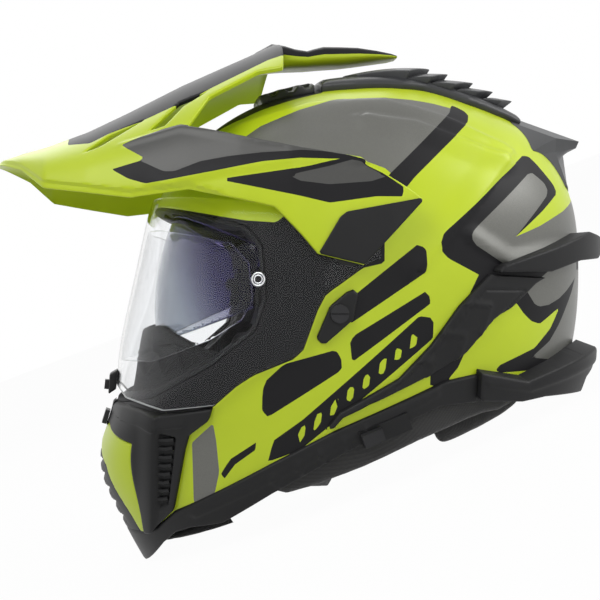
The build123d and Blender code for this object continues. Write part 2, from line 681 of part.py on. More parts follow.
def make_chin():
    """Chin bar mouldings, ribbed side vents, centre vent and its slider."""
    centre = front_prism(chin_strip_shares) + front_prism(chin_vent_shares)
    around = side_prism(trim_shares) + side_prism(port_shares)
    housing = patch(side_prism(chin_front_shares) - around, SEAT_GAP, CHIN_PROUD) - centre
    top = side_point(0, rib_zone_shares[0][1])
    low = side_point(0, rib_zone_shares[-1][1])
    zone = side_prism(rib_zone_shares)
    step = (top.Z - low.Z) / RIB_COUNT
    for rib in range(RIB_COUNT):
        middle = low.Z + step * (rib + 1 / 2)
        band = bar((-REACH, REACH), (-REACH, 0), (middle - RIB_SLOT / 2, middle + RIB_SLOT / 2))
        housing = housing - (zone & band)
    tab_plane = seat(CHIN_PROUD, side_point(0, CHIN_TAB_SHARE), -Y_DIR, Z_DIR)
    pad_length = CHIN_TAB_HEIGHT + CHIN_TAB_TRAVEL + 2 * SLIDE_GAP
    rail = 2 * SLIDE_GAP
    pad = block(tab_plane, pad_length, CHIN_TAB_WIDTH, -CHIN_PROUD, rail) - form(SEAT_GAP)
    housing = housing + pad - centre
    keep("chin_vent_housing", largest(housing))
    tab = block(
        tab_plane,
        CHIN_TAB_HEIGHT,
        CHIN_TAB_WIDTH - rail,
        rail + SLIDE_GAP,
        rail + SLIDE_GAP + CHIN_TAB_PROUD,
        -CHIN_TAB_TRAVEL / 2,
    )
    keep("chin_vent_slider", tab)
    show_axis("chin_vent_slider moves along", tab_plane.x_dir)
    strip = patch(front_prism(chin_strip_shares, grow=-CHIN_SEAM / 2), SEAT_GAP, CHIN_STRIP_PROUD)
    strip = (strip - side_prism(trim_shares)) & bar((0, REACH), (-REACH, 0), (-REACH, 0))
    keep_pair("chin_strip", largest(strip))
    grille = patch(front_prism(chin_vent_shares, grow=-CHIN_SEAM / 2), SEAT_GAP, CHIN_GRILLE_PROUD)
    for rib in range(1, RIB_COUNT):
        middle = low.Z + step * rib
        grille = grille - bar(
            (-HALF_WIDTH * CHIN_GRILLE_SLOT_SHARE, HALF_WIDTH * CHIN_GRILLE_SLOT_SHARE),
            (-REACH, 0),
            (middle - RIB_SLOT / 2, middle + RIB_SLOT / 2),
        )
    grille = grille - side_prism(trim_shares)
    keep("chin_vent_grille", largest(grille))


def spoiler_body():
    """The spoiler's full form, ruled between its side view sections on both sides."""
    outward = []
    for share, outline in zip(spoiler_half_shares, spoiler_section_shares):
        corners = [side_point(y, z) for y, z in outline]
        outward.append((HALF_WIDTH * share, corners))
    sections = [(-x, corners) for x, corners in outward[:0:-1]] + outward
    faces = []
    for x, corners in sections:
        points = [Vector(x, corner.Y, corner.Z) for corner in corners]
        faces.append(make_face(Polyline(*points, close=True)))
    return loft(faces, ruled=True)


def make_crown_vents():
    """Brow vent, crown fairing with its louvres and slider, rear spoiler and its grille."""
    brow = patch(plan_prism(brow_vent_shares), SEAT_GAP, FAIRING_PROUD)
    keep("brow_vent", largest(brow))
    fairing = patch(plan_prism(fairing_shares), SEAT_GAP, FAIRING_PROUD)
    slider_plane = seat(FAIRING_PROUD, side_point(TOP_SLIDER_SHARE, 0), Z_DIR, Y_DIR)
    pad_length = TOP_SLIDER_LENGTH + TOP_SLIDER_TRAVEL + 2 * SLIDE_GAP
    rail = 2 * SLIDE_GAP
    pad = block(slider_plane, pad_length, TOP_SLIDER_WIDTH, -FAIRING_PROUD / 2, rail)
    hollow = patch(plan_prism(fairing_hollow_shares), 0, FAIRING_PROUD - MOULDING_WALL)
    fairing = fairing - hollow + (pad - form(SEAT_GAP))
    keep("crown_fairing", largest(fairing))
    slider = block(
        slider_plane,
        TOP_SLIDER_LENGTH,
        TOP_SLIDER_WIDTH - rail,
        rail + SLIDE_GAP,
        rail + SLIDE_GAP + TOP_SLIDER_PROUD,
        -TOP_SLIDER_TRAVEL / 2,
    )
    keep("crown_vent_slider", slider)
    show_axis("crown_vent_slider moves along", slider_plane.x_dir)
    louvres = []
    for shares in louvre_plan_shares:
        row = patch(plan_prism(shares), FAIRING_PROUD + SEAT_GAP, LOUVRE_PROUD)
        louvres += [solid for solid in row.solids() if solid.volume > LOUVRE_LEAST]
    parts["crown_louvres"] = louvres
    body = spoiler_body()
    hollow = Pos(0, -MOULDING_WALL, -MOULDING_WALL) * body & Pos(0, -MOULDING_WALL, MOULDING_WALL) * body
    inner_half = HALF_WIDTH * spoiler_half_shares[2] - MOULDING_WALL
    hollow = hollow & bar((-inner_half, inner_half), (0, REACH), (0, REACH))
    window = bar((-GRILLE_HALF, GRILLE_HALF), (0, REACH), (0, REACH))
    exhaust = side_prism(exhaust_shares) & window
    keep("rear_spoiler", largest(body - hollow - exhaust - form(SEAT_GAP)))
    inside = bar((SEAT_GAP - GRILLE_HALF, GRILLE_HALF - SEAT_GAP), (0, REACH), (0, REACH))
    grille = body & side_prism(exhaust_shares, grow=-SEAT_GAP) & inside
    pitch = 2 * GRILLE_HALF / (GRILLE_SLOTS + 1)
    for slot in range(GRILLE_SLOTS):
        x = -GRILLE_HALF + pitch * (slot + 1)
        hole = bar((x - GRILLE_SLOT / 2, x + GRILLE_SLOT / 2), (-REACH, REACH), (-REACH, REACH))
        grille = grille - (hole & side_prism(exhaust_shares, grow=-GRILLE_SLOT / 3))
    keep("rear_exhaust_grille", largest(grille))


def make_visor_bearings():
    """On each side a base disc with its boss, and the cap that keeps the visor on it."""
    boss_end = HALF_WIDTH + VISOR_OUTER + PIVOT_CAP_GAP
    disc_end = HALF_WIDTH + VISOR_GAP / 2
    inner = HALF_WIDTH - PIVOT_BASE_RADIUS / 2
    base = rod(PIVOT_BASE_RADIUS, inner, disc_end, PIVOT_Y, PIVOT_Z)
    base = base + rod(PIVOT_BOSS_RADIUS, inner, boss_end, PIVOT_Y, PIVOT_Z)
    base = base - form(SEAT_GAP)
    bore = PEAK_SCREW_RADIUS + PIN_GAP
    base = base - rod(bore, inner, boss_end + REACH, PIVOT_Y, PIVOT_Z)
    keep_pair("visor_pivot_base", largest(base))
    cap = rod(PIVOT_CAP_RADIUS, boss_end, boss_end + PIVOT_CAP_THICK, PIVOT_Y, PIVOT_Z)
    cap = cap - rod(bore, inner, boss_end + REACH, PIVOT_Y, PIVOT_Z)
    keep_pair("visor_pivot_cap", cap)


def make_visor():
    """Clear visor, fog free lens with its pins, and the latch at the lower edge."""
    outline = side_prism(visor_shares)
    visor = patch(outline, VISOR_GAP, VISOR_OUTER)
    hole = rod(PIVOT_BOSS_RADIUS + PIN_GAP, -REACH, REACH, PIVOT_Y, PIVOT_Z)
    keep("visor", largest(visor - hole))

    lens_top = VISOR_GAP - ANTIFOG_GAP
    lens = patch(side_prism(antifog_shares, corner=VISOR_CORNER), lens_top - ANTIFOG_THICK, lens_top)
    pin_place = side_point(*antifog_pin_share)
    pin_x = hit(form(VISOR_GAP), pin_place, X_DIR)[0].X
    tip = pin_x - ANTIFOG_PIN_LENGTH
    room = rod(ANTIFOG_PIN_RADIUS + SEAT_GAP, tip, HALF_WIDTH * 2, pin_place.Y, pin_place.Z)
    keep("fog_free_lens", largest(lens - room - mirrored(room)))
    pin = rod(ANTIFOG_PIN_RADIUS, tip, HALF_WIDTH, pin_place.Y, pin_place.Z)
    keep("fog_free_lens_pins", largest(pin & form(VISOR_GAP - SEAT_GAP)), twin=True)

    plane = seat(VISOR_OUTER, side_point(0, LATCH_BUTTON_SHARE), -Y_DIR, X_DIR)
    latch_top = VISOR_OUTER + LATCH_PROUD + LATCH_WALL
    latch = patch(side_prism(latch_shares), VISOR_OUTER + SEAT_GAP, latch_top)
    latch = latch & bar((-LATCH_HALF, LATCH_HALF), (-REACH, 0), (-REACH, 0))
    button_size = (2 * LATCH_BUTTON_HALF, LATCH_BUTTON_HEIGHT)
    floor = LATCH_WALL - LATCH_BUTTON_TRAVEL / 2
    well = block(
        plane, button_size[0] + 2 * SLIDE_GAP, button_size[1] + 2 * SLIDE_GAP, floor, REACH / 2
    )
    keep("visor_latch", largest(latch - well))
    low = floor + LATCH_BUTTON_TRAVEL + SLIDE_GAP
    button = block(plane, *button_size, low, LATCH_PROUD + LATCH_WALL + LATCH_BUTTON_TRAVEL)
    keep("visor_latch_button", button)
    show_axis("visor_latch_button moves against", plane.z_dir)


def make_sun_shield():
    """Tinted inner shield, its arms, the brackets that carry them, and the lever on the trim."""
    lens = spheroid(SHIELD_RADIUS, SHIELD_SPREAD)
    inner = spheroid(SHIELD_RADIUS - SHIELD_THICK, SHIELD_SPREAD - SHIELD_THICK)
    lens = (lens - inner) & side_prism(shield_shares)
    lens = lens & bar((-SHIELD_HALF, SHIELD_HALF), (-REACH, 0), (-REACH, REACH))
    keep("sun_shield", largest(lens))
    arm = side_prism(arm_shares) & bar(
        (SHIELD_HALF - SHIELD_ARM_THICK, SHIELD_HALF), (-REACH, REACH), (-REACH, REACH)
    )
    thin = SHIELD_THICK + SEAT_GAP
    arm = arm & spheroid(SHIELD_RADIUS - thin, SHIELD_SPREAD - thin)
    at = (SHIELD_PIVOT_Y, SHIELD_PIVOT_Z)
    arm = arm + rod(SHIELD_HUB_RADIUS, SHIELD_HALF - SHIELD_ARM_THICK, SHIELD_HALF, *at)
    arm = arm - rod(SHIELD_PIN_RADIUS + PIN_GAP, 0, REACH, *at)
    keep("sun_shield_arms", largest(arm), twin=True)
    pin_from = SHIELD_HALF - SHIELD_ARM_THICK - SHIELD_POCKET / 2
    plate_from = SHIELD_HALF + SLIDE_GAP
    plate_to = SHIELD_HALF + SHIELD_POCKET - SEAT_GAP
    bracket = rod(SHIELD_HUB_RADIUS + SHIELD_POCKET, plate_from, plate_to, *at)
    bracket = bracket + rod(SHIELD_PIN_RADIUS, pin_from, plate_to, *at)
    keep("sun_shield_brackets", bracket, twin=True)

    lean = stand_angle()
    along = Vector(0, math.cos(lean), math.sin(lean))
    plane = seat(TRIM_PROUD, side_point(*lever_share), X_DIR, along)
    length = LEVER_LENGTH + LEVER_TRAVEL + 2 * SLIDE_GAP
    track = block(plane, length, LEVER_HEIGHT + 2 * TRACK_WALL, -TRIM_PROUD, TRACK_WALL)
    track = track - form(TRIM_PROUD + SEAT_GAP)
    keep("sun_shield_lever_track", largest(track))
    lever = block(
        plane,
        LEVER_LENGTH,
        LEVER_HEIGHT,
        TRACK_WALL + SLIDE_GAP,
        TRACK_WALL + SLIDE_GAP + LEVER_PROUD,
        -LEVER_TRAVEL / 2,
    )
    keep("sun_shield_lever", lever)
    show_axis("sun_shield_lever moves along", plane.x_dir)


def make_peak():
    """Peak with its open windows and tail, side screws and side panels."""
    hood = (arch(0) - arch(PEAK_WALL)) & side_prism(peak_shares)
    for shares in peak_window_shares:
        hood = hood - side_prism(shares)
    open_top = side_prism(peak_open_shares)
    hood = hood - open_top
    spine = side_prism(peak_tail_shares)
    tail = spine & bar((-PEAK_SPINE_HALF, PEAK_SPINE_HALF), (-REACH, REACH), (0, REACH))
    channel = PEAK_SPINE_HALF - PEAK_WALL
    hollow = Pos(0, 0, -PEAK_WALL) * spine
    tail = tail - (hollow & bar((-channel, channel), (-REACH, REACH), (0, REACH)))
    peak = hood + tail
    outer_x = hit(arch(0), PIVOT, X_DIR)[0].X - PEAK_SCREW_SINK
    head_from = outer_x - PEAK_SCREW_HEAD_THICK
    boss_start = HALF_WIDTH + VISOR_GAP
    through = rod(PEAK_SCREW_RADIUS + SEAT_GAP, boss_start, REACH, PIVOT_Y, PIVOT_Z)
    sink = rod(PEAK_SCREW_HEAD + SEAT_GAP, head_from - SEAT_GAP, REACH, PIVOT_Y, PIVOT_Z)
    room = through + sink
    keep("peak", largest(peak - room - mirrored(room)))
    screw = rod(PEAK_SCREW_RADIUS, boss_start, outer_x, PIVOT_Y, PIVOT_Z)
    screw = screw + rod(PEAK_SCREW_HEAD, head_from, outer_x, PIVOT_Y, PIVOT_Z)
    keep("peak_screws", screw, twin=True)
    panel = arch(-PEAK_PANEL_THICK - SEAT_GAP) - arch(-SEAT_GAP)
    panel = panel & side_prism(peak_panel_shares, side=1)
    keep_pair("peak_side_panel", largest(panel))


def strap_band(points, y_from, width, thick=STRAP_THICK):
    """A flat band of webbing along points in the front view, mitred at its bends."""
    half = thick / 2
    near, far = [], []
    for index, point in enumerate(points):
        before = points[max(index - 1, 0)]
        after = points[min(index + 1, len(points) - 1)]
        if index in (0, len(points) - 1):
            run = (after - before).normalized()
            stretch = half
        else:
            first = (point - before).normalized()
            second = (after - point).normalized()
            run = (first + second).normalized()
            stretch = half / run.dot(first)
        normal = Vector(-run.Z, 0, run.X)
        near.append(point + normal * stretch)
        far.append(point - normal * stretch)
    outline = near + far[::-1]
    face = make_face(Polyline(*[Vector(p.X, y_from, p.Z) for p in outline], close=True))
    return extrude(face, width, dir=Y_DIR)


def strap_route(side, end_x):
    """Points of one strap in the front view, from its anchor down to the buckle at end_x."""
    outer_x = CHEEK_WIDTH / 2 - SOFT_GAP - STRAP_THICK / 2
    drop = CHEEK_TOP - STRAP_LOW
    points = []
    for in_share, up_share in strap_route_shares:
        points.append(Vector(side * (outer_x - drop * in_share), 0, STRAP_LOW + drop * up_share))
    return points + [Vector(side * end_x, 0, STRAP_LOW)]


def strap_anchor(radius, grow=0.0):
    """The disc that holds one strap's upper end to the wall behind the cheek pad."""
    anchor_z = STRAP_LOW + (CHEEK_TOP - STRAP_LOW) * STRAP_ANCHOR_SHARE
    outer = CHEEK_WIDTH / 2 - SOFT_GAP - STRAP_THICK - SEAT_GAP
    return rod(radius, outer - STRAP_ANCHOR_THICK - grow, outer + grow, STRAP_Y, anchor_z)


def make_strap():
    """Webbing on both sides, and a ratchet buckle whose lever lets the toothed tongue go."""
    y_from = STRAP_Y - STRAP_WIDTH / 2
    half_buckle = BUCKLE_LENGTH / 2
    tongue_start = -half_buckle + 2 * BUCKLE_WALL
    tongue_end = tongue_start + TONGUE_LENGTH
    left = strap_route(1, tongue_end + SEAT_GAP)
    keep("chin_strap_left", strap_band(left, y_from, STRAP_WIDTH))
    right = strap_route(-1, half_buckle + SEAT_GAP)
    keep("chin_strap_right", strap_band(right, y_from, STRAP_WIDTH))
    keep("strap_anchors", strap_anchor(STRAP_ANCHOR_RADIUS), twin=True)

    low = STRAP_LOW - BUCKLE_TALL / 2
    high = STRAP_LOW + BUCKLE_TALL / 2
    y_range = (STRAP_Y - STRAP_WIDTH / 2, STRAP_Y + STRAP_WIDTH / 2)
    body = bar((-half_buckle, half_buckle), y_range, (low, high))
    inside = (y_range[0] + BUCKLE_WALL, y_range[1] - BUCKLE_WALL)
    body = body - bar((-half_buckle + BUCKLE_WALL, REACH), inside, (low + BUCKLE_WALL, REACH))
    pin_x = -half_buckle + BUCKLE_TALL
    pin_z = high - BUCKLE_WALL * 1.5
    across = Plane(origin=(pin_x, -REACH, pin_z), x_dir=X_DIR, z_dir=Y_DIR)
    body = body - extrude(across * Circle(BUCKLE_PIN_RADIUS + PIN_GAP), 2 * REACH)
    keep("buckle_body", largest(body))
    tongue_low = low + BUCKLE_WALL + SLIDE_GAP
    tongue = bar(
        (tongue_start, tongue_end),
        (STRAP_Y - TONGUE_WIDTH / 2, STRAP_Y + TONGUE_WIDTH / 2),
        (tongue_low, tongue_low + TONGUE_THICK),
    )
    for tooth in range(TONGUE_TEETH):
        x = -half_buckle + 3 * BUCKLE_WALL + tooth * TONGUE_TOOTH
        notch = bar(
            (x, x + TONGUE_TOOTH / 2),
            (-REACH, REACH),
            (tongue_low + TONGUE_THICK * 2 / 3, REACH),
        )
        tongue = tongue - notch
    keep("buckle_tongue", tongue)
    lever_width = (inside[0] + SLIDE_GAP, inside[1] - SLIDE_GAP)
    lever = bar(
        (pin_x - BUCKLE_WALL, pin_x + BUCKLE_LEVER_LENGTH),
        lever_width,
        (high - BUCKLE_WALL, high + BUCKLE_WALL),
    )
    lever = lever + extrude(
        Plane(origin=(pin_x, lever_width[0], pin_z), x_dir=X_DIR, z_dir=Y_DIR)
        * Circle(BUCKLE_PIN_RADIUS * 2),
        lever_width[1] - lever_width[0],
    )
    pin = extrude(
        Plane(origin=(pin_x, y_range[0], pin_z), x_dir=X_DIR, z_dir=Y_DIR)
        * Circle(BUCKLE_PIN_RADIUS),
        STRAP_WIDTH,
    )
    keep("buckle_lever", largest(lever + pin))
    show_point("buckle lever axis", Vector(pin_x, 0, pin_z))


outermost_nodes = ["base_trim", "rear_skirt", "chin_vent_grille", "rear_spoiler", "peak"]
shown_points = []
shown_axes = []


def show_point(label, point):
    shown_points.append((label, point))


def show_axis(label, direction):
    shown_axes.append((label, direction))


def mesh_points(solids):
    """Points on the surface of some solids, close enough together to measure their reach."""
    return [point for solid in solids for point in solid.tessellate(MEASURE_STEP)[0]]


def write_parts():
    """Stand the helmet on its lower edge, centre it, and write one file per node."""
    os.makedirs("parts", exist_ok=True)
    turn = Rot(X=-math.degrees(stand_angle()))
    turned = {name: [turn * solid for solid in solids] for name, solids in parts.items()}
    reach = [point for name in outermost_nodes for point in mesh_points(turned[name])]
    low_z = min(point.Z for point in reach)
    front_y = min(point.Y for point in reach)
    back_y = max(point.Y for point in reach)
    shift = Pos(0, -(front_y + back_y) / 2, -low_z)
    for name, solids in turned.items():
        placed = [shift * solid for solid in solids]
        shape = placed[0] if len(placed) == 1 else Compound(placed)
        export_step(shape, os.path.join("parts", name + ".step"))
        print(name, len(placed), "solids", round(sum(solid.volume for solid in placed)))
    print("length", round(back_y - front_y, 2), "height", round(max(p.Z for p in reach) - low_z, 2))
    show_point("visor and peak axis", PIVOT)
    show_point("sun shield axis", Vector(0, SHIELD_PIVOT_Y, SHIELD_PIVOT_Z))
    for label, point in shown_points:
        placed = (shift * turn * Pos(point)).position
        print(label, [round(value, 3) for value in placed])
    for label, direction in shown_axes:
        turned_direction = direction.rotate(Axis.X, -math.degrees(stand_angle()))
        print(label, [round(value, 4) for value in turned_direction])
    print("lean in degrees", round(math.degrees(stand_angle()), 4))


make_shell()
make_liner()
make_lining()
make_lower_mouldings()
make_port_pieces()
make_chin()
make_crown_vents()
make_visor_bearings()
make_visor()
make_sun_shield()
make_peak()
make_strap()
write_parts()
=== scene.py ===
import json
import math

import bmesh
import bpy
import numpy as np
from mathutils import Matrix, Vector

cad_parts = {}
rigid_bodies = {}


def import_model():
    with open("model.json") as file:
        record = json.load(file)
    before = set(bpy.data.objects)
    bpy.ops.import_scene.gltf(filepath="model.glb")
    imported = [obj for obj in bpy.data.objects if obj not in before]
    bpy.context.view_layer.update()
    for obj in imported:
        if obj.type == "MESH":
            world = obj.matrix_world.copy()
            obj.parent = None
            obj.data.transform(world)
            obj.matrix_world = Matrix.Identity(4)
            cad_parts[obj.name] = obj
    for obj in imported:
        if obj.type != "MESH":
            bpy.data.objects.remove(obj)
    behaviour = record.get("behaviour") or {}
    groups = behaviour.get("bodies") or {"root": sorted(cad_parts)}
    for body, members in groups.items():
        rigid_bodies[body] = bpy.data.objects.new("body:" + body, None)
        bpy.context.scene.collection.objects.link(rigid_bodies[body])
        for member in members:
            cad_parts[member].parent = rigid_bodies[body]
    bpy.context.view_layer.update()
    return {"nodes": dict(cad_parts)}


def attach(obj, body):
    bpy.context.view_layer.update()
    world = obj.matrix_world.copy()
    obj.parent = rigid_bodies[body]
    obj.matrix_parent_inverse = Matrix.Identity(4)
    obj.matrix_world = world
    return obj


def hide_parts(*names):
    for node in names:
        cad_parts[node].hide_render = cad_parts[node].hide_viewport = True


for item in list(bpy.data.objects):
    bpy.data.objects.remove(item)
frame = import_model()
nodes = frame["nodes"]

# The studio: the camera stands level with a worn helmet, so it is rolled against the floor,
# because the helmet stands here on its lower edge and leans back. White floor and backdrop,
# one large soft lamp over the front, one behind the back and two weaker ones beside it.
LEAN = math.radians(20.9103)
WORN_Y, WORN_Z = -0.026644, 0.121119
YAW = math.radians(7)
SENSOR, SEEN_WIDTH, DISTANCE = 36, 402, 1000
FLOOR_SIZE, FLOOR_GLOW, SHADE_GLOW = 6, 0.97, 0.25


def stand(points):
    """Points of the worn helmet, as they lie when it stands on its lower edge."""
    points = np.asarray(points, float).reshape(-1, 3)
    y, z = points[:, 1], points[:, 2]
    turned = points.copy()
    turned[:, 1] = y * math.cos(LEAN) + z * math.sin(LEAN) + WORN_Y
    turned[:, 2] = -y * math.sin(LEAN) + z * math.cos(LEAN) + WORN_Z
    return turned


def look(from_point):
    """The matrix of a lamp or camera at one worn point that faces the middle."""
    start, end, over = [Vector(p) for p in stand([from_point, (0, 0, 0), (0, 0, 1)])]
    back = (start - end).normalized()
    right = (over - end).cross(back).normalized()
    turn = Matrix((right, back.cross(right), back)).transposed()
    return Matrix.Translation(start) @ turn.to_4x4()


def link(name, data):
    """A new object in the scene."""
    made = bpy.data.objects.new(name, data)
    bpy.context.scene.collection.objects.link(made)
    return made


def add_node(tree, kind, out=0, **values):
    """A new node's output. Small names are its settings; its inputs go by name with a capital,
    or by number as i0, i1 and so on."""
    made = tree.nodes.new(kind)
    for key, value in values.items():
        numbered = key[1:].isdigit()
        if key.islower() and not numbered:
            setattr(made, key, value)
            continue
        socket = made.inputs[int(key[1:]) if numbered else key.replace("_", " ")]
        if isinstance(value, bpy.types.NodeSocket):
            tree.links.new(value, socket)
        else:
            socket.default_value = value
    return made.outputs[out]


def seen_directly(tree):
    """1 for rays from the camera, from a shiny surface or through glass, otherwise 0."""
    path, share = tree.nodes.new("ShaderNodeLightPath"), 0.0
    for ray in ("Is Camera Ray", "Is Glossy Ray", "Is Transmission Ray"):
        share = add_node(tree, "ShaderNodeMath", operation="MAXIMUM", i0=path.outputs[ray],
                         i1=share)
    return share


scene = bpy.context.scene
scene.view_settings.view_transform = "Standard"
camera = link("camera", bpy.data.cameras.new("camera"))
camera.matrix_world = look((math.cos(YAW), -math.sin(YAW), 0))
camera.data.lens = SENSOR * DISTANCE / SEEN_WIDTH
camera.data.clip_start = 0.05
camera.data.clip_end = 50
scene.camera = camera

for lamp_name, place, size, power in [
    ("lamp_front", (0.75, -0.75, 0.95), 0.9, 8.0),
    ("lamp_back", (0.35, 1.0, 0.75), 0.7, 7.0),
    ("lamp_side", (1.25, 0.45, 0.15), 0.9, 2.2),
    ("lamp_far", (-0.9, -0.2, 0.8), 0.9, 4.0),
]:
    lamp = bpy.data.lights.new(lamp_name, "AREA")
    lamp.size = size
    lamp.energy = power
    link(lamp_name, lamp).matrix_world = look(place)

world = bpy.data.worlds.new("studio")
scene.world = world
world.use_nodes = True
tree = world.node_tree
backdrop = tree.nodes["Background"].inputs
backdrop["Color"].default_value = (1, 1, 1, 1)
tree.links.new(add_node(tree, "ShaderNodeMapRange", Value=seen_directly(tree), To_Min=SHADE_GLOW,
                        To_Max=1.0), backdrop["Strength"])

floor = link("floor", bpy.data.meshes.new("floor"))
sheet = bmesh.new()
bmesh.ops.create_grid(sheet, x_segments=2, y_segments=2, size=FLOOR_SIZE)
sheet.to_mesh(floor.data)
sheet.free()
white = bpy.data.materials.new("floor_white")
white.use_nodes = True
tree = white.node_tree
tree.nodes.clear()
shown = add_node(tree, "ShaderNodeMath", operation="MULTIPLY", i0=seen_directly(tree),
                 i1=FLOOR_GLOW)
matt = add_node(tree, "ShaderNodeBsdfDiffuse", Color=(0.9, 0.9, 0.9, 1))
glow = add_node(tree, "ShaderNodeEmission", Strength=1.0)
tree.links.new(add_node(tree, "ShaderNodeMixShader", i0=shown, i1=matt, i2=glow),
               tree.nodes.new("ShaderNodeOutputMaterial").inputs[0])
floor.data.materials.append(white)

# The outer shell: one moulded skin, 4 mm thick, satin painted in hi-vis yellow with gunmetal
# and black panels. Its form is a closed side profile that shrinks about the visor's pivot
# towards each side; the eye port and the lower edge are cut out of it.
PIVOT = np.array([0.015, 0.033])
HALF = 0.120
FLANK_POWER = 2.3
MIRROR = (-1, 1, 1)
PROFILE = np.array([
    (186, 33), (183, 60), (174, 84), (151, 112), (121, 128), (95, 137), (67, 142.5), (34, 142.5),
    (0, 137), (-25, 130), (-47, 119), (-77, 93), (-94, 65), (-102, 35), (-110, 0), (-117, -35),
    (-122, -70), (-130, -94), (-130, -110), (-120, -135), (-108, -158), (-75, -200), (0, -215),
    (80, -190), (130, -130), (165, -75), (180, -38), (185, -10),
]) / 1000


SPLINE_STEPS, RING_SAMPLES = 64, 2000
FAR_OFF = 1e9
CUT_LOW, CUT_HIGH = 0.02, 0.98
CROWN_FLOOR, CHIN_BACK = 0.06, 0.03


def steps_along(points):
    """The length along a line of points, from its start to each of them."""
    return np.concatenate([[0], np.cumsum(np.linalg.norm(np.diff(points, axis=0), axis=1))])


def closed_spline(points, samples):
    """Even samples along the smooth closed curve through some points in a plane."""
    ends = np.roll(points, -1, axis=0)
    run = np.linalg.norm(ends - points, axis=1)[:, None]
    before = np.roll(run, 1)
    one = np.eye(len(points))
    system = (run * np.roll(one, -1, axis=1) + 2 * (run + before) * one
              + before * np.roll(one, 1, axis=1))
    slope = (ends - points) / run
    tangent = np.linalg.solve(system, 3 * (run * np.roll(slope, 1, axis=0) + before * slope))
    t = np.linspace(0, 1, SPLINE_STEPS, endpoint=False)[None, :, None]
    p0, p1 = points[:, None], ends[:, None]
    m0, m1 = (tangent * run)[:, None], (np.roll(tangent, -1, axis=0) * run)[:, None]
    dense = (
        (2 * t**3 - 3 * t**2 + 1) * p0 + (t**3 - 2 * t**2 + t) * m0
        + (3 * t**2 - 2 * t**3) * p1 + (t**3 - t**2) * m1
    ).reshape(-1, 2)
    dense = np.vstack([dense, dense[:1]])
    length = steps_along(dense)
    at = np.linspace(0, length[-1], samples, endpoint=False)
    return np.stack([np.interp(at, length, part) for part in dense.T], 1)


RING = closed_spline(PROFILE, RING_SAMPLES)


def helmet_form(places, off=0.0):
    """Worn points of the helmet's form at (round the profile 0-1, across in radians)."""
    turn = (places[:, 0] % 1.0) * len(RING)
    low = np.floor(turn).astype(int)
    part = (turn - low)[:, None]
    ring = RING[low % len(RING)] * (1 - part) + RING[(low + 1) % len(RING)] * part
    arm = ring - PIVOT
    reach = np.linalg.norm(arm, axis=1)
    arm = arm * ((reach + off) / reach)[:, None]
    sine = np.sin(places[:, 1])
    share = np.sign(sine) * np.abs(sine) ** (2 / FLANK_POWER)
    return np.column_stack([share * (HALF + off), PIVOT + arm * np.cos(places[:, 1])[:, None]])


def outline_distance(a, b, outline):
    """How far spots (a, b) lie outside an outline, whose corners are in mm; inside is minus."""
    corners = np.asarray(outline, float) / 1000
    best = np.full(len(a), FAR_OFF)
    inside = np.zeros(len(a), bool)
    for (ax, ay), (bx, by) in zip(corners, np.roll(corners, -1, axis=0)):
        dx, dy = bx - ax, by - ay
        t = np.clip(((a - ax) * dx + (b - ay) * dy) / (dx * dx + dy * dy), 0, 1)
        best = np.minimum(best, (a - ax - t * dx) ** 2 + (b - ay - t * dy) ** 2)
        crossing = (ay > b) != (by > b)
        with np.errstate(divide="ignore", invalid="ignore"):
            inside ^= crossing & (a < ax + (b - ay) * dx / np.where(dy == 0, 1e-12, dy))
    return np.where(inside, -1, 1) * np.sqrt(best)


class Field:
    """A value at worn points, below zero within a shape: & keeps what lies in both of two
    shapes, | what lies in either, a minus turns it inside out and + draws it in."""

    def __init__(self, value):
        self.value = value

    def __call__(self, points):
        return self.value(points)

    def __and__(self, other):
        return Field(lambda p: np.maximum(self(p), other(p)))

    def __or__(self, other):
        return Field(lambda p: np.minimum(self(p), other(p)))

    def __neg__(self):
        return Field(lambda p: -self(p))

    def __add__(self, gap):
        return Field(lambda p: self(p) + gap)


AHEAD = Field(lambda p: p[:, 1])


def side(*outlines):
    """What lies within any of some outlines in the side view."""
    return Field(lambda p: np.min([outline_distance(p[:, 1], p[:, 2], outline)
                                   for outline in outlines], axis=0))


def top(outline):
    """What lies within an outline in the top view, on both halves of the crown."""
    return Field(lambda p: np.maximum(outline_distance(np.abs(p[:, 0]), p[:, 1], outline),
                                      CROWN_FLOOR - p[:, 2]))


def front(outline):
    """What lies within an outline in the front view, on both halves of the chin."""
    flat = Field(lambda p: outline_distance(np.abs(p[:, 0]), p[:, 2], outline))
    return flat & AHEAD + CHIN_BACK


def across(half):
    """What lies within a half width of the centre plane."""
    return Field(lambda p: np.abs(p[:, 0]) - half)


def split(places, faces, value):
    """Cuts a skin's faces where value changes sign.

    It gives the places, the minus and the plus side, and the number of each one's old face.
    """
    negative = (value < 0).tolist()
    value = value.tolist()
    fresh, cuts, sides, sources = [], {}, ([], []), ([], [])
    for number, face in enumerate(faces):
        marks = [negative[i] for i in face]
        if all(marks) or not any(marks):
            half = 0 if marks[0] else 1
            sides[half].append(face)
            sources[half].append(number)
            continue
        near, far = [], []
        for k, i in enumerate(face):
            j = face[(k + 1) % len(face)]
            (near if marks[k] else far).append(i)
            if marks[k] != negative[j]:
                key = (i, j) if i < j else (j, i)
                if key not in cuts:
                    t = value[key[0]] / (value[key[0]] - value[key[1]])
                    cuts[key] = len(places) + len(fresh)
                    fresh.append((*key, min(max(t, CUT_LOW), CUT_HIGH)))
                near.append(cuts[key])
                far.append(cuts[key])
        for half, part in enumerate((near, far)):
            sides[half].append(part)
            sources[half].append(number)
    if fresh:
        starts, ends = np.array([f[:2] for f in fresh]).T
        share = np.array([f[2] for f in fresh])[:, None]
        places = np.vstack([places, places[starts] * (1 - share) + places[ends] * share])
    return places, *sides, *sources


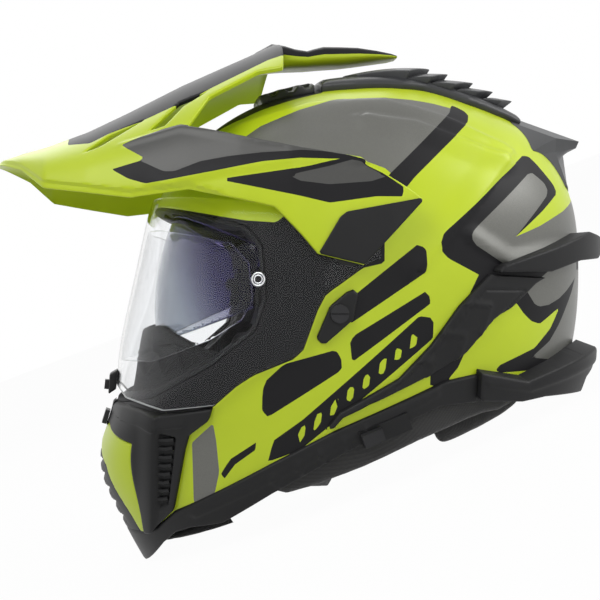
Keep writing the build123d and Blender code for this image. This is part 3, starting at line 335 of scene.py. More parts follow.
def compact(places, faces):
    """Drops the places that no face uses."""
    used, turned = np.unique(np.concatenate([np.asarray(face) for face in faces]),
                             return_inverse=True)
    ends = np.cumsum([len(face) for face in faces])
    turned = turned.tolist()
    return places[used], [turned[end - len(face):end] for face, end in zip(faces, ends.tolist())]


def net_of(u, v):
    """Places over two rows of values, and the number of each place."""
    places = np.stack(np.meshgrid(u, v, indexing="ij"), -1).reshape(-1, 2)
    return places, np.arange(len(places)).reshape(len(u), len(v))


RING_REACH, SIDE_REACH = 1.08, 0.13
FEWEST, MOST_HALVINGS = 4, 6


def form_grid(step, around=(0.0, 1.0), over=(-math.pi / 2, math.pi / 2)):
    """An even net over the form or a window of it; it halves its rows near the poles."""
    rows = max(FEWEST, int((around[1] - around[0]) * RING_REACH / step))
    columns = max(FEWEST, int((over[1] - over[0]) * SIDE_REACH / step))
    halvings = max(0, min(MOST_HALVINGS, int(math.log2(rows)) - 2))
    rows = math.ceil(rows / 2**halvings) * 2**halvings
    v = np.linspace(*over, columns + 1)
    places, index = net_of(np.linspace(*around, rows + 1), v)
    width = np.maximum(np.cos(v), 2.0**-halvings)
    skip = (2 ** np.floor(0.001 - np.log2(width)).astype(int)).tolist()
    faces = []
    for column, (near, far) in enumerate(zip(skip, skip[1:])):
        cell = max(near, far)
        for row in range(0, rows, cell):
            left = index[row:row + cell + 1:near, column].tolist()
            right = index[row:row + cell + 1:far, column + 1].tolist()
            faces.append(left[:1] + right + left[:0:-1])
    return places, faces


def even_net(reach, *spans):
    """The maker of an even net over a window; reach is the metres of one unit each way."""
    def net(step, *window):
        u, v = [np.linspace(*span, int((span[1] - span[0]) * scale / step) + 1)
                for span, scale in zip(window or spans, reach)]
        places, index = net_of(u, v)
        quads = np.stack([index[:-1, :-1], index[1:, :-1], index[1:, 1:], index[:-1, 1:]], -1)
        return places, quads.reshape(-1, 4).tolist()
    return net


WELD = 2e-5


def new_piece(name, points, faces, materials, slots, sharp=None):
    """A mesh object from worn points, stood up, welded and smooth.

    Edges that turn by more than sharp, in degrees, are shaded as edges.
    """
    mesh = bpy.data.meshes.new(name)
    mesh.from_pydata(stand(points).tolist(), [], faces)
    for material in materials:
        mesh.materials.append(material)
    mesh.polygons.foreach_set("material_index", np.asarray(slots, np.int32))
    work = bmesh.new()
    work.from_mesh(mesh)
    bmesh.ops.remove_doubles(work, verts=work.verts, dist=WELD)
    bmesh.ops.dissolve_degenerate(work, edges=work.edges, dist=WELD)
    bmesh.ops.triangulate(work, faces=[f for f in work.faces if len(f.verts) > 4])
    bmesh.ops.recalc_face_normals(work, faces=work.faces)
    work.normal_update()
    for face in work.faces:
        face.smooth = True
    for edge in work.edges if sharp else ():
        edge.smooth = (len(edge.link_faces) == 2
                       and edge.calc_face_angle(0) < math.radians(sharp))
    work.to_mesh(mesh)
    work.free()
    return link(name, mesh)


ROUGH_STEP = 0.006
WINDOW_PAD = (0.012, 0.1)
EDGE_CUTS, ARC_SHARE = (0.3, 1.0), 0.98


def layer(name, field, inner, outer, step, materials, edge=0.0008, zones=(), relief=None,
          surface=helmet_form, net=form_grid, window=None, both=False, sharp=50, inside=None,
          rim_slot=None):
    """A moulded layer between two offsets of a form, kept where field is below zero.

    Its upper edges are rounded, each zone's faces take that zone's material, and relief adds
    height to the outer side. With both it is made on the left and mirrored to the right. Inside
    is the material of its inner faces and rim_slot that of its rim, where they have their own.
    An empty window is the net's whole one.
    """
    if window is None:
        rough, _ = net(ROUGH_STEP)
        keep = field(surface(rough, outer)) < ROUGH_STEP
        if both:
            keep &= rough[:, 1] > 0
        window = []
        for k, pad in enumerate(WINDOW_PAD):
            low, high = rough[keep, k].min() - pad, rough[keep, k].max() + pad
            if k == 0 and net is form_grid:
                window.append((0.0, 1.0) if high - low > 1 else (low, high))
            else:
                window.append((max(low, rough[:, k].min()), min(high, rough[:, k].max())))
        if both:
            window[1] = (max(window[1][0], 0.0), window[1][1])
    places, faces = net(step, *window)
    places, faces, *_ = split(places, faces, field(surface(places, outer)))
    for cut in EDGE_CUTS:
        places, low, high, *_ = split(places, faces, field(surface(places, outer)) + cut * edge)
        faces = low + high
    slots = [0] * len(faces)
    for zone, number in zones:
        places, low, high, _, high_from = split(places, faces, zone(surface(places, outer)))
        faces = low + high
        slots = [number] * len(low) + [slots[k] for k in high_from]
    places, faces = compact(places, faces)
    drop = 1 - np.clip(-field(surface(places, outer)) / edge, 0, 1)
    height = outer - edge * (1 - np.sqrt(1 - drop**2 * ARC_SHARE))
    if relief is not None:
        height = height + relief(surface(places, outer))
    count = len(places)
    rim = {}
    for face, number in zip(faces, slots):
        for i, j in zip(face, face[1:] + face[:1]):
            if (j, i) in rim:
                del rim[(j, i)]
            else:
                rim[(i, j)] = number
    lower_slots = slots if inside is None else [inside] * len(slots)
    slots = slots + lower_slots + [rim[pair] if rim_slot is None else rim_slot for pair in rim]
    points = np.vstack([surface(places, height), surface(places, np.full(count, inner))])
    faces = (faces + [[i + count for i in reversed(face)] for face in faces]
             + [[j, i, i + count, j + count] for i, j in rim])
    if both:
        faces = faces + [[i + len(points) for i in reversed(face)] for face in faces]
        slots = slots + slots
        points = np.vstack([points, points * MIRROR])
    return new_piece(name, points, faces, materials, slots, sharp)


def fit(piece, body, slot, *replaced):
    """Puts a piece on its body, in place of the nodes that it dresses. The slot is not used."""
    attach(piece, body)
    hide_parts(*replaced)
    return piece


class Wire:
    """A value in a material's maths, with the usual operators."""

    def __init__(self, finish, socket):
        self.finish, self.socket = finish, socket

    def __add__(self, other):
        return self.finish.maths("ADD", self, other)

    def __mul__(self, other):
        return self.finish.maths("MULTIPLY", self, other)

    def __rsub__(self, other):
        return self.finish.maths("SUBTRACT", other, self)


class Finish:
    """A procedural material on Blender's standard shader."""

    def __init__(self, name, **values):
        self.material = bpy.data.materials.new(name)
        self.material.use_nodes = True
        self.tree = self.material.node_tree
        self.place = self.node("ShaderNodeTexCoord", out="Object")
        for key, value in values.items():
            self.set(key, value)

    def set(self, key, value):
        shader = self.tree.nodes["Principled BSDF"]
        socket = shader.inputs[key.replace("_", " ").title().replace("Ior", "IOR")]
        if isinstance(value, Wire):
            self.tree.links.new(value.socket, socket)
        else:
            socket.default_value = value

    def node(self, kind, out=0, **values):
        values = {key: getattr(value, "socket", value) for key, value in values.items()}
        return Wire(self, add_node(self.tree, kind, out, **values))

    def maths(self, operation, first, second):
        return self.node("ShaderNodeMath", operation=operation, i0=first, i1=second)

    def noise(self, size, detail=2.0):
        return self.node("ShaderNodeTexNoise", Vector=self.place, Scale=1 / size, Detail=detail)

    def waves(self, scale, direction, distortion=0.0):
        return self.node("ShaderNodeTexWave", out=1, bands_direction=direction,
                         Vector=self.place, Scale=scale, Distortion=distortion)

    def ramp(self, value, low, high, start=0.0, end=1.0):
        return self.node("ShaderNodeMapRange", Value=value, From_Min=start, From_Max=end,
                         To_Min=low, To_Max=high)

    def dress(self, tone, first, second, sheen=None, rough=None, bump=None):
        """Mixes the colour by tone, the roughness by sheen, and adds bump: height, depth, share."""
        self.set("base_color", self.node("ShaderNodeMix", out=2, data_type="RGBA", i0=tone,
                                         i6=(*first, 1), i7=(*second, 1)))
        if sheen:
            self.set("roughness", self.ramp(sheen, *rough))
        if bump:
            self.set("normal", self.node("ShaderNodeBump", Height=bump[0], Distance=bump[1],
                                         Strength=bump[2]))
        return self.material


def satin_paint(name, colour, dark, rough, flake=0.0, metal=0.0, coat=0.15, shine=0.5):
    """Sprayed paint: slight orange peel, a little unevenness, and metal flake where asked."""
    paint = Finish(name, roughness=rough, metallic=metal, coat_weight=coat,
                   coat_roughness=0.25, specular_ior_level=shine)
    cloud = paint.noise(0.05, 3.0)
    grain = paint.noise(0.0004, 1.0) if flake else cloud
    return paint.dress(cloud * (1 - flake) + grain * flake, dark, colour, cloud,
                       (rough - 0.04, rough + 0.05), (paint.noise(0.0012), 0.00003, 0.35))


def satin_plastic(name, colour, rough=0.5, grain=0.0006, depth=0.00004, shine=0.22):
    """Moulded plastic with a fine spark-eroded grain and slightly uneven sheen."""
    plastic = Finish(name, roughness=rough, specular_ior_level=shine)
    cloud = plastic.noise(0.03, 3.0)
    pale = tuple(min(1.0, part * 1.5 + 0.004) for part in colour)
    return plastic.dress(cloud, colour, pale, cloud, (rough - 0.06, rough + 0.08),
                         (plastic.noise(grain), depth, 0.5))


YELLOW = satin_paint("hi_vis_yellow", (0.62, 0.76, 0.022), (0.52, 0.66, 0.012), 0.36, shine=0.35)
GUNMETAL = satin_paint("gunmetal_flake", (0.20, 0.20, 0.18), (0.085, 0.086, 0.078), 0.4, 0.75,
                       0.35)
BLACK = satin_paint("black_paint", (0.008, 0.0075, 0.009), (0.005, 0.005, 0.006), 0.46, coat=0.0,
                    shine=0.2)
SHELL_INSIDE = satin_plastic("shell_inside", (0.02, 0.02, 0.02), 0.7)
HUE, GREY, DARK, LINED = 0, 1, 2, 3
PORT = [(-170, 62), (-97, 60), (-45, 44), (-36, 32), (-34, 0), (-40, -18), (-64, -38),
        (-100, -60), (-122, -66), (-170, -68)]
FLOOR_CUT = [
    (-170, -150), (-104, -150), (-85, -137), (-58, -127), (-29, -109), (16, -84), (47, -68),
    (80, -58), (220, -58), (220, -260), (-170, -260)]


def ridge(points, line, height, near, far):
    """Height of a crease along a side view line: sharp on one side, fading on the other."""
    best, turned = np.full(len(points), FAR_OFF), np.zeros(len(points))
    corners = np.asarray(line, float) / 1000
    for (ay, az), (by, bz) in zip(corners[:-1], corners[1:]):
        dy, dz = by - ay, bz - az
        y, z = points[:, 1] - ay, points[:, 2] - az
        t = np.clip((y * dy + z * dz) / (dy * dy + dz * dz), 0, 1)
        gap = np.hypot(y - t * dy, z - t * dz)
        nearer = gap < best
        best = np.where(nearer, gap, best)
        turned = np.where(nearer, dy * z - dz * y, turned)
    fade = np.clip(1 - best / np.where(turned > 0, far, near), 0, 1)
    return height * fade * fade * (3 - 2 * fade)


def ridges(*creases):
    """The relief of several creases together."""
    return lambda points: sum(ridge(points, *crease) for crease in creases)


def plateau(field, points, slope=0.0012):
    """1 well within a shape and 0 outside it, with a short slope between."""
    return np.clip(-field(points) / slope, 0, 1)


# Pressed creases of the shell: along the crown panels, the flank and the rear chevron.
shell_relief = ridges(
    ([(-46, 108), (0, 122), (45, 124), (80, 113), (118, 96)], 0.0026, 0.016, 0.003),
    ([(30, 112), (60, 108), (90, 97), (116, 88)], 0.0024, 0.014, 0.003),
    ([(118, 86), (100, 66), (78, 42), (60, 20)], 0.0022, 0.018, 0.004),
    ([(92, 36), (118, 22), (172, 33)], 0.0022, 0.004, 0.012))
TOP_PANEL = [
    (-52, 94), (-33, 106), (-9, 116), (10, 122), (28, 126.5), (45, 127), (62, 126), (76, 124),
    (97, 119), (98, 115), (50, 68), (38, 79), (22, 85), (-12, 91), (-40, 96)]
TOP_STRIPE = [
    (90, 124), (97, 120), (99, 117), (97, 112), (56, 74), (50, 67), (42, 60), (34, 68), (41, 76),
    (86, 118), (88, 122)]
REAR_CHEVRON = [
    (72, 40), (70, 34), (72, 29), (76, 25), (101, 13), (108, 17), (113, 23), (122, 39), (156, 66),
    (157, 70), (155, 74), (142, 87), (137, 91), (132, 91), (127, 87)]
REAR_INSERT = [
    (91, 41), (90, 38), (92, 34), (113, 22), (174, 40), (185, 45), (185, 70), (170, 64), (161, 57),
    (122, 39), (148, 66), (149, 70), (147, 74), (138, 80), (134, 79)]
REAR_CRESCENT = [(122, 39), (140, 53), (156, 67), (170, 68), (176, 66), (162, 57), (140, 46)]
REAR_LOW_BLACK = [(98, 19), (150, 27), (190, 38), (190, -60), (66, -52), (66, -30), (84, -8)]
REAR_LOW_YELLOW = [
    (116, -1), (122, -1), (128, -8), (134, -13), (141, -15), (158, -4), (150, -18), (138, -30),
    (113, -40), (110, -43), (112, -45), (141, -44), (133, -51), (84, -51), (40, -64), (2, -80),
    (2, -85), (79, -52), (78, -48), (84, -41), (88, -32), (100, -17)]
REAR_LOW_GREY = [
    (130, 6), (147, 18), (176, 27), (176, 17), (171, 12), (164, 6), (157, 1), (148, -3), (141, -4),
    (137, -3)]
REAR_FOOT_GREY = [
    (176, 20), (170, 6), (158, -15), (150, -26), (136, -36), (154, -38), (190, -20), (190, 20)]
PORT_BAND = [
    (-170, 60), (-97, 59.5), (-60, 50.5), (-45, 47.5), (-28, 46), (-10, 60), (36, 60), (36, 22),
    (23, 19), (12, 11), (1, 3.2), (-4, -6.5), (-12, -29.5), (-17.5, -35), (-41, -44.8),
    (-51, -51.5), (-65, -64.5), (-95, -68.8), (-119, -67), (-170, -66)]
BROW_BLACK = [(0, -62), (30, -60), (45, -42), (50, -20), (47, 9), (0, 9)]
BARS = [
    [(15, -6), (18, 3), (56.5, 33.5), (61, 30.5), (61.7, 16.7), (13.6, -15.4)],
    [(15.5, -24.5), (18, -21), (63, 6), (65, -2), (17, -37)],
    [(-36, -54), (-34, -48), (-23.5, -38), (6.5, -29.7), (10.3, -33.2), (11, -41.6),
     (-32.5, -69.7), (-36, -66)],
    [(-59.5, -104.5), (-54, -95.5), (-39, -85), (-38, -88.5), (-51.5, -99), (-57.5, -108)],
]
CHIN_BAR = [
    (-76.8, -86), (-64.6, -74), (-62.6, -84.5), (-60.5, -103.7), (-63.2, -118.5), (-75.2, -124)]
HATCH_BAND = [
    (-32, -97), (-29, -84), (-12, -71.5), (58, -9.6), (67, -10.8), (67, -23), (-13, -89.8)]
HATCH = [[(y, z), (y + 4.2, z + 3.5), (y + 5.2, z + 13), (y + 1, z + 9.5)]
         for y, z in [(9.6 * k - 15, 8 * k - 86.6) for k in range(8)]]
fit(layer(
    "shell_skin", -side(PORT) & -side(FLOOR_CUT), -0.004, 0.0, 0.0026,
    [YELLOW, GUNMETAL, BLACK, SHELL_INSIDE], edge=0.0009, relief=shell_relief, inside=LINED,
    zones=[
        (side(TOP_PANEL), GREY), (side(TOP_STRIPE), DARK), (side(REAR_CHEVRON), DARK),
        (side(REAR_INSERT), GREY), (side(REAR_CRESCENT), HUE), (side(REAR_LOW_BLACK), DARK),
        (side(REAR_LOW_YELLOW), HUE), (side(REAR_LOW_GREY), GREY), (side(REAR_FOOT_GREY), GREY),
        (side(PORT_BAND), DARK), (top(BROW_BLACK), DARK), *[(side(bar), DARK) for bar in BARS],
        (side(CHIN_BAR), GREY), (side(HATCH_BAND), DARK), (side(*HATCH), HUE),
    ]), "helmet", "shell_paint", "outer_shell")

# The eye port: a soft rubber profile pressed over the shell's cut edge, which the closed visor
# seals against, and a moulded breath guard with three sunk cells a side under the nose.
RUBBER = satin_plastic("seal_rubber", (0.010, 0.010, 0.011), 0.62, 0.0009, 0.00003)
SEAL = Field(lambda p: np.abs(side(PORT)(p) + 0.0013) - 0.0012) & AHEAD
fit(layer("port_gasket", SEAL, -0.006, 0.0006, 0.0012, [RUBBER], edge=0.0006),
    "helmet", "gasket_rubber", "eye_port_gasket")
GUARD = [(-140, -66.2), (-122, -65), (-100, -59), (-64, -37), (-58, -33.4), (-70, -31), (-97, -17),
         (-112, -21), (-140, -29)]
GUARD_CELLS = side([(-108, -36), (-100, -31), (-95, -35), (-103, -46)],
                   [(-97, -29), (-88, -28), (-84, -34), (-92, -44)],
                   [(-85, -28), (-76, -31), (-73, -35), (-81, -41)])


def guard_relief(points):
    lips = np.clip(1 - np.abs(GUARD_CELLS(points) - 0.0012) / 0.001, 0, 1)
    return -0.0016 * plateau(GUARD_CELLS, points, 0.001) + 0.0010 * lips


fit(layer("breath_guard_moulding", side(GUARD), -0.0145, -0.0115, 0.0014, [RUBBER], edge=0.0012,
          relief=guard_relief), "helmet", "gasket_rubber", "breath_guard")

# The lower mouldings are black textured plastic. The base trim is a channel clipped round the
# shell's edge, with pressed chevrons and a chin skirt in front.
BLACK_PLASTIC = satin_plastic("black_moulding", (0.008, 0.008, 0.0085), 0.46, 0.0007)


def cover(name, replaced, *form, **details):
    """A black moulded cover on the helmet."""
    fit(layer(name, *form, [BLACK_PLASTIC], **details), "helmet", "black_mouldings", *replaced)


TRIM = [
    (-118, -149), (-101, -146), (-87, -131), (-74, -124), (-30, -99), (-13, -90), (8, -79),
    (76, -50), (98, -46), (98, -63), (73, -65), (47, -76), (16, -91), (-29, -117), (-58, -136),
    (-77, -140), (-86, -144), (-93, -152), (-103, -169), (-113, -169), (-117, -158)]
CHEVRONS = side(*[[(y, z), (y + 6, z - 1), (y + 12, z - 9), (y + 6, z - 10)]
                  for y, z in [(-34, -103), (-20, -95.5), (-6, -88.5), (8, -81), (22, -75)]])
TRIM_CREASE = [(-74, -131), (-30, -108), (14, -85), (70, -57)], 0.0012, 0.003, 0.006
cover("base_trim_moulding", ["base_trim"], side(TRIM), -0.008, 0.0025, 0.0015, edge=0.0012,
      relief=lambda p: 0.0012 * plateau(CHEVRONS, p) + ridge(p, *TRIM_CREASE))

# The chin bar's covers: a black housing with ribbed side vents, a yellow blade each side of
# the centre, and a black louvred vent between them, all clipped onto the painted shell.
CHIN_FRONT = [
    (-160, -68.5), (-119, -67.5), (-95, -70.5), (-66, -65.5), (-68, -73), (-79.5, -82.5),
    (-82, -92), (-88, -130), (-100, -144.5), (-113, -148), (-160, -148)]
BLADE = front([
    (0, -80), (20, -80), (68, -89), (54, -134), (49, -146), (42.5, -148), (41, -136), (34, -106),
    (14, -96), (0, -91)])
VENT = front([(0, -91), (14, -96), (34, -106), (41, -136), (42.5, -148), (0, -148)])
RIB_ZONE = side([(-97, -81), (-86.5, -83), (-90.5, -127), (-97, -129)])
OFF_TRIM = -side(TRIM) + 0.0002
JOINT = 0.0003
RIB_PITCH, RIB_OFF = 5.3, 0.0028
housing_creases = ridges(([(-98.5, -71), (-99, -100), (-99.5, -143)], 0.0030, 0.012, 0.0025),
                         ([(-119, -74), (-99, -78), (-84, -76)], 0.0014, 0.0015, 0.006))
cover("chin_housing", ["chin_vent_housing"],
      side(CHIN_FRONT) & -(BLADE | VENT) + JOINT & OFF_TRIM, 0.0001, 0.004, 0.0013, edge=0.0014,
      relief=lambda p: housing_creases(p) - 0.0026 * plateau(RIB_ZONE, p))


def seats(spots, off):
    """Worn points over side view spots in mm on the left side, and their directions out."""
    arm = RING - PIVOT
    ring_angle, ring_reach = np.arctan2(arm[:, 1], arm[:, 0]), np.hypot(*arm.T) + off
    places = []
    for y, z in np.asarray(spots, float) / 1000 - PIVOT:
        turn = (ring_angle - math.atan2(z, y) + math.pi) % (2 * math.pi) - math.pi
        at = int(np.argmin(np.abs(turn)))
        places.append((at / len(RING), math.acos(min(1.0, math.hypot(z, y) / ring_reach[at]))))
    places = np.array(places)
    run, rise = [helmet_form(places + step, off) - helmet_form(places - step, off)
                 for step in np.eye(2) / 1000]
    out = np.cross(run, rise)
    out /= np.linalg.norm(out, axis=1, keepdims=True)
    return helmet_form(places, off), out * np.sign(out[:, :1])


def bake(piece):
    """Turns the piece's modifiers into its mesh."""
    bpy.context.view_layer.update()
    seen = piece.evaluated_get(bpy.context.evaluated_depsgraph_get())
    done = bpy.data.meshes.new_from_object(seen)
    piece.modifiers.clear()
    piece.data = done


def grow(name, points, edges, directions, material, build, **sizes):
    """A plain mesh that a Geometry Nodes tree grows on worn points, with named size inputs."""
    mesh = bpy.data.meshes.new(name)
    mesh.from_pydata(stand(points).tolist(), edges, [])
    facing = mesh.attributes.new("facing", "FLOAT_VECTOR", "POINT")
    facing.data.foreach_set("vector", (stand(directions) - stand((0, 0, 0))).ravel())
    piece = link(name, mesh)
    tree = bpy.data.node_groups.new(name, "GeometryNodeTree")
    for way in ("INPUT", "OUTPUT"):
        tree.interface.new_socket(name="Geometry", in_out=way, socket_type="NodeSocketGeometry")
    for key in sizes:
        tree.interface.new_socket(name=key, in_out="INPUT", socket_type="NodeSocketFloat")
    grown = build(tree, tree.nodes.new("NodeGroupInput").outputs)
    real = add_node(tree, "GeometryNodeRealizeInstances", Geometry=grown)
    dressed = add_node(tree, "GeometryNodeSetMaterial", Geometry=real, Material=material)
    tree.links.new(dressed, tree.nodes.new("NodeGroupOutput").inputs[0])
    modifier = piece.modifiers.new(name, "NODES")
    modifier.node_group = tree
    for item in tree.interface.items_tree:
        if item.in_out == "INPUT" and item.name in sizes:
            modifier[item.identifier] = sizes[item.name]
    bake(piece)
    return piece


def bars_on_edges(tree, given):
    """A round bar along each line of edges, with closed ends."""
    line = add_node(tree, "GeometryNodeMeshToCurve", Mesh=given["Geometry"])
    ring = add_node(tree, "GeometryNodeCurvePrimitiveCircle", Resolution=10,
                    Radius=given["bar_radius"])
    return add_node(tree, "GeometryNodeCurveToMesh", Curve=line, Profile_Curve=ring, Fill_Caps=True)


def on_points(tree, given, instance):
    """One thing on each point, square to its direction."""
    facing = add_node(tree, "GeometryNodeInputNamedAttribute", data_type="FLOAT_VECTOR",
                      Name="facing")
    turn = add_node(tree, "FunctionNodeAlignEulerToVector", axis="Z", Vector=facing)
    return add_node(tree, "GeometryNodeInstanceOnPoints", Points=given["Geometry"],
                    Instance=instance, Rotation=turn)


def rings_on_points(tree, given):
    circle, tube = [
        add_node(tree, "GeometryNodeCurvePrimitiveCircle", Resolution=count, Radius=given[radius])
        for count, radius in ((32, "ring_radius"), (12, "tube_radius"))]
    ring = add_node(tree, "GeometryNodeCurveToMesh", Curve=circle, Profile_Curve=tube)
    return on_points(tree, given, ring)


def discs_on_points(tree, given):
    disc = add_node(tree, "GeometryNodeMeshCylinder", Vertices=32, Radius=given["disc_radius"],
                    Depth=given["disc_height"])
    return on_points(tree, given, disc)


rib_lines = [seats([(-96.5, -85 - z), (-92.5 - 0.2 * k, -85.2 - z), (-87.5 - 0.4 * k, -84.4 - z)],
                   RIB_OFF)[0] for k, z in [(k, RIB_PITCH * k) for k in range(8)]]
rib_points = np.vstack(rib_lines + [line * MIRROR for line in rib_lines])
rib_edges = [(k, k + 1) for k in range(len(rib_points) - 1) if k % 3 < 2]
fit(grow("chin_side_ribs", rib_points, rib_edges, np.zeros_like(rib_points), BLACK_PLASTIC,
         bars_on_edges, bar_radius=0.0013), "helmet", "black_mouldings", "chin_vent_housing")
SLIDER_SEAT = across(0.011) & Field(lambda p: np.abs(p[:, 2] + 0.074) - 0.0077) & AHEAD
cover("chin_slider_seat", ["chin_vent_housing"], SLIDER_SEAT, 0.002, 0.0045, 0.0009, edge=0.0007)
fit(layer("chin_blades", BLADE + JOINT & OFF_TRIM & -across(0.0002), 0.0001, 0.003, 0.0012,
          [YELLOW], edge=0.0012),
    "helmet", "yellow_mouldings", "chin_strip_left", "chin_strip_right")


def waves(along, start, pitch, steepness):
    """Rounded steps between -1 and 1 along a measure."""
    return np.clip(np.sin((along - start) * 2 * np.pi / pitch) * steepness, -1, 1)


def chin_vent_relief(points):
    middle = np.clip((0.026 - np.abs(points[:, 0])) / 0.002, 0, 1)
    return middle * (waves(points[:, 2], -0.0935, 0.009, 3) * 0.0010 - 0.0008)


cover("chin_vent_louvres", ["chin_vent_grille"], VENT + JOINT & OFF_TRIM, 0.0001, 0.0022, 0.0012,
      edge=0.001, relief=chin_vent_relief)

# Side strips and diamond plugs, black covers on the flank. Each plug has a quarter-turn screw.
SIDE_STRIP = [
    (104, 15.5), (145, 14), (137, 10), (119, -5), (107, -12), (90, -32), (65, -46), (12, -71),
    (7, -77), (2, -78), (10, -68), (46, -48), (66, -28), (84, -4)]
STRIP_INNER = side([
    (100, 6), (128, 6), (104, -16), (86, -36), (62, -50), (24, -66), (50, -48), (72, -26)])
strip_creases = ridges(*[([(y - 13, z + 5), (y + 2, z + 4), (y - 3, z - 12)], 0.0009, 0.001, 0.005)
                         for y, z in [(100, -8), (84, -26), (64, -42)]])
PLUG = [(3, -4), (13, 4.5), (17, 6), (20, 3.5), (19, -2), (17, -12), (1, -26), (-2, -26), (-5, -23)]


def strip_relief(points):
    groove = np.clip(1 - np.abs(STRIP_INNER(points)) / 0.0011, 0, 1)
    return strip_creases(points) - 0.0009 * groove


cover("side_strips", ["side_strip_left", "side_strip_right"], side(SIDE_STRIP), 0.0001, 0.0032,
      0.0012, edge=0.0014, relief=strip_relief, both=True)
fit(layer("side_plugs", side(PLUG), 0.0001, 0.003, 0.0009, [BLACK_PLASTIC], edge=0.0014, both=True),
    "helmet", "grey_fittings", "side_plug_left", "side_plug_right")
FITTING = satin_plastic("grey_fitting", (0.020, 0.020, 0.0215), 0.42, 0.0009, 0.00003)

# The visor turns about the side screws: 2 mm clear polycarbonate whose rim is pale grey, a painted
# highlight. A second, fog free lens hangs inside it on two metal pins, and a latch tab sits at its
# foot.
VISOR = [
    (-170, 66), (-101, 66), (-45, 59), (0, 54), (15, 50), (30, 45), (34, 25), (22.6, 20.1),
    (11.8, 11.8), (0, 4), (-5, -6), (-12.7, -28.9), (-18, -34), (-41, -43.8), (-51, -50.5),
    (-64.8, -63.3), (-94.6, -67.3), (-116.6, -62), (-124, -53), (-170, -50)]
ANTIFOG = [
    (-170, 44), (-96, 44), (-54, 34), (-44, 22), (-42, 0), (-48, -12), (-66, -24), (-100, -38),
    (-170, -42)]
LATCH = [(-160, -45), (-112, -50), (-112, -61), (-160, -62)]
PIN_SPOT, PIN_OFF = (-38.7, 12.2), 0.0029
POLISH = 0.02

# Polished clear plastic: an anti-glare coating keeps its mirror low, with a breath of haze.
clear = Finish("clear_polycarbonate", base_color=(0.97, 0.975, 0.98, 1), roughness=POLISH,
               ior=1.17, transmission_weight=1.0, specular_ior_level=0.3)
clear.set("roughness", clear.ramp(clear.noise(0.02), POLISH, 2 * POLISH))
CLEAR = clear.material
# Opaque pale grey on the visor's rim faces: a painted highlight along the clear sheet's edge.
VISOR_EDGE_HIGHLIGHT = satin_plastic("clear_edge", (0.30, 0.31, 0.31), 0.3, 0.0009, 0.00002)
fit(layer("visor_lens", side(VISOR), 0.0020, 0.0040, 0.0020, [CLEAR, VISOR_EDGE_HIGHLIGHT], sharp=None,
          rim_slot=1), "visor_body", "clear_visor", "visor")
fit(layer("fog_free_lens_sheet", side(ANTIFOG), 0.0008, 0.0016, 0.0020, [CLEAR], edge=0.0004,
          sharp=None), "visor_body", "clear_visor", "fog_free_lens")
NICKEL = Finish("pin_nickel", metallic=1.0, roughness=0.18)
NICKEL.dress(NICKEL.noise(0.0015), (0.42, 0.43, 0.44), (0.86, 0.87, 0.88))
pin_points, pin_directions = [np.vstack([part, part * MIRROR])
                              for part in seats([PIN_SPOT], PIN_OFF)]
for name, material, build, sizes in [
    ("lens_pin_rims", NICKEL.material, rings_on_points,
     {"ring_radius": 0.0038, "tube_radius": 0.0009}),
    ("lens_pin_collars", NICKEL.material, rings_on_points,
     {"ring_radius": 0.0024, "tube_radius": 0.0007}),
    ("lens_pin_cores", RUBBER, discs_on_points, {"disc_radius": 0.0036, "disc_height": 0.0010}),
]:
    fit(grow(name, pin_points, [], pin_directions, material, build, **sizes),
        "visor_body", "lens_pins", "fog_free_lens_pins")
fit(layer("visor_latch_moulding", side(LATCH) & across(0.013), 0.0041, 0.0100, 0.0009,
          [BLACK_PLASTIC], edge=0.001), "visor_body", "black_mouldings", "visor_latch")

# The sun shield: a lens inside the eye port that swings up into a slot in the liner when the
# lever on the lower edge slides back. It is dyed dark violet at the back, and its colour fades to
# a pale grey front that is a painted reflection.
SHIELD_Y, SHIELD_Z, SHIELD_REACH, SHIELD_SPREAD = 0.050, -0.005, 0.147, 0.118
SHIELD = [
    (-140, 63), (-82, 55), (-30, 30), (-16, 12), (-16, 5), (-34, -2.5), (-92, -26), (-140, -45)]
# The span over which the painted pale reflection at the front fades into the violet dye.
REFLECTION_FADE_SPAN = (-0.102, -0.066)


def shield_form(places, off=0.0):
    """Worn points of the sun shield's form at (round in radians, across in radians)."""
    reach = (SHIELD_REACH + off) * np.cos(places[:, 1])
    return np.column_stack([(SHIELD_SPREAD + off) * np.sin(places[:, 1]),
                            SHIELD_Y - reach * np.cos(places[:, 0]),
                            SHIELD_Z + reach * np.sin(places[:, 0])])


TINT_AND_REFLECTION = Finish("violet_smoke_lens", roughness=0.04, ior=1.3, transmission_weight=1.0,
              specular_ior_level=0.3)
front_to_back = TINT_AND_REFLECTION.node("ShaderNodeSeparateXYZ", out="Y", Vector=TINT_AND_REFLECTION.place)
# Pale grey front: painted reflection; dark violet back: the lens's own dye.
TINT_AND_REFLECTION.dress(TINT_AND_REFLECTION.ramp(front_to_back + TINT_AND_REFLECTION.noise(0.02) * 0.004, 0.0, 1.0, *REFLECTION_FADE_SPAN),
           (0.52, 0.55, 0.60), (0.10, 0.08, 0.22))
fit(layer("sun_shield_lens", side(SHIELD) & across(0.093) & AHEAD, -0.0018, 0.0, 0.002,
          [TINT_AND_REFLECTION.material], edge=0.0006, surface=shield_form, window=(), sharp=None,
          net=even_net((SHIELD_REACH, SIDE_REACH), (-0.5, 1.0), (-1.0, 1.0))),
    "sun_shield_body", "tinted_shield", "sun_shield")

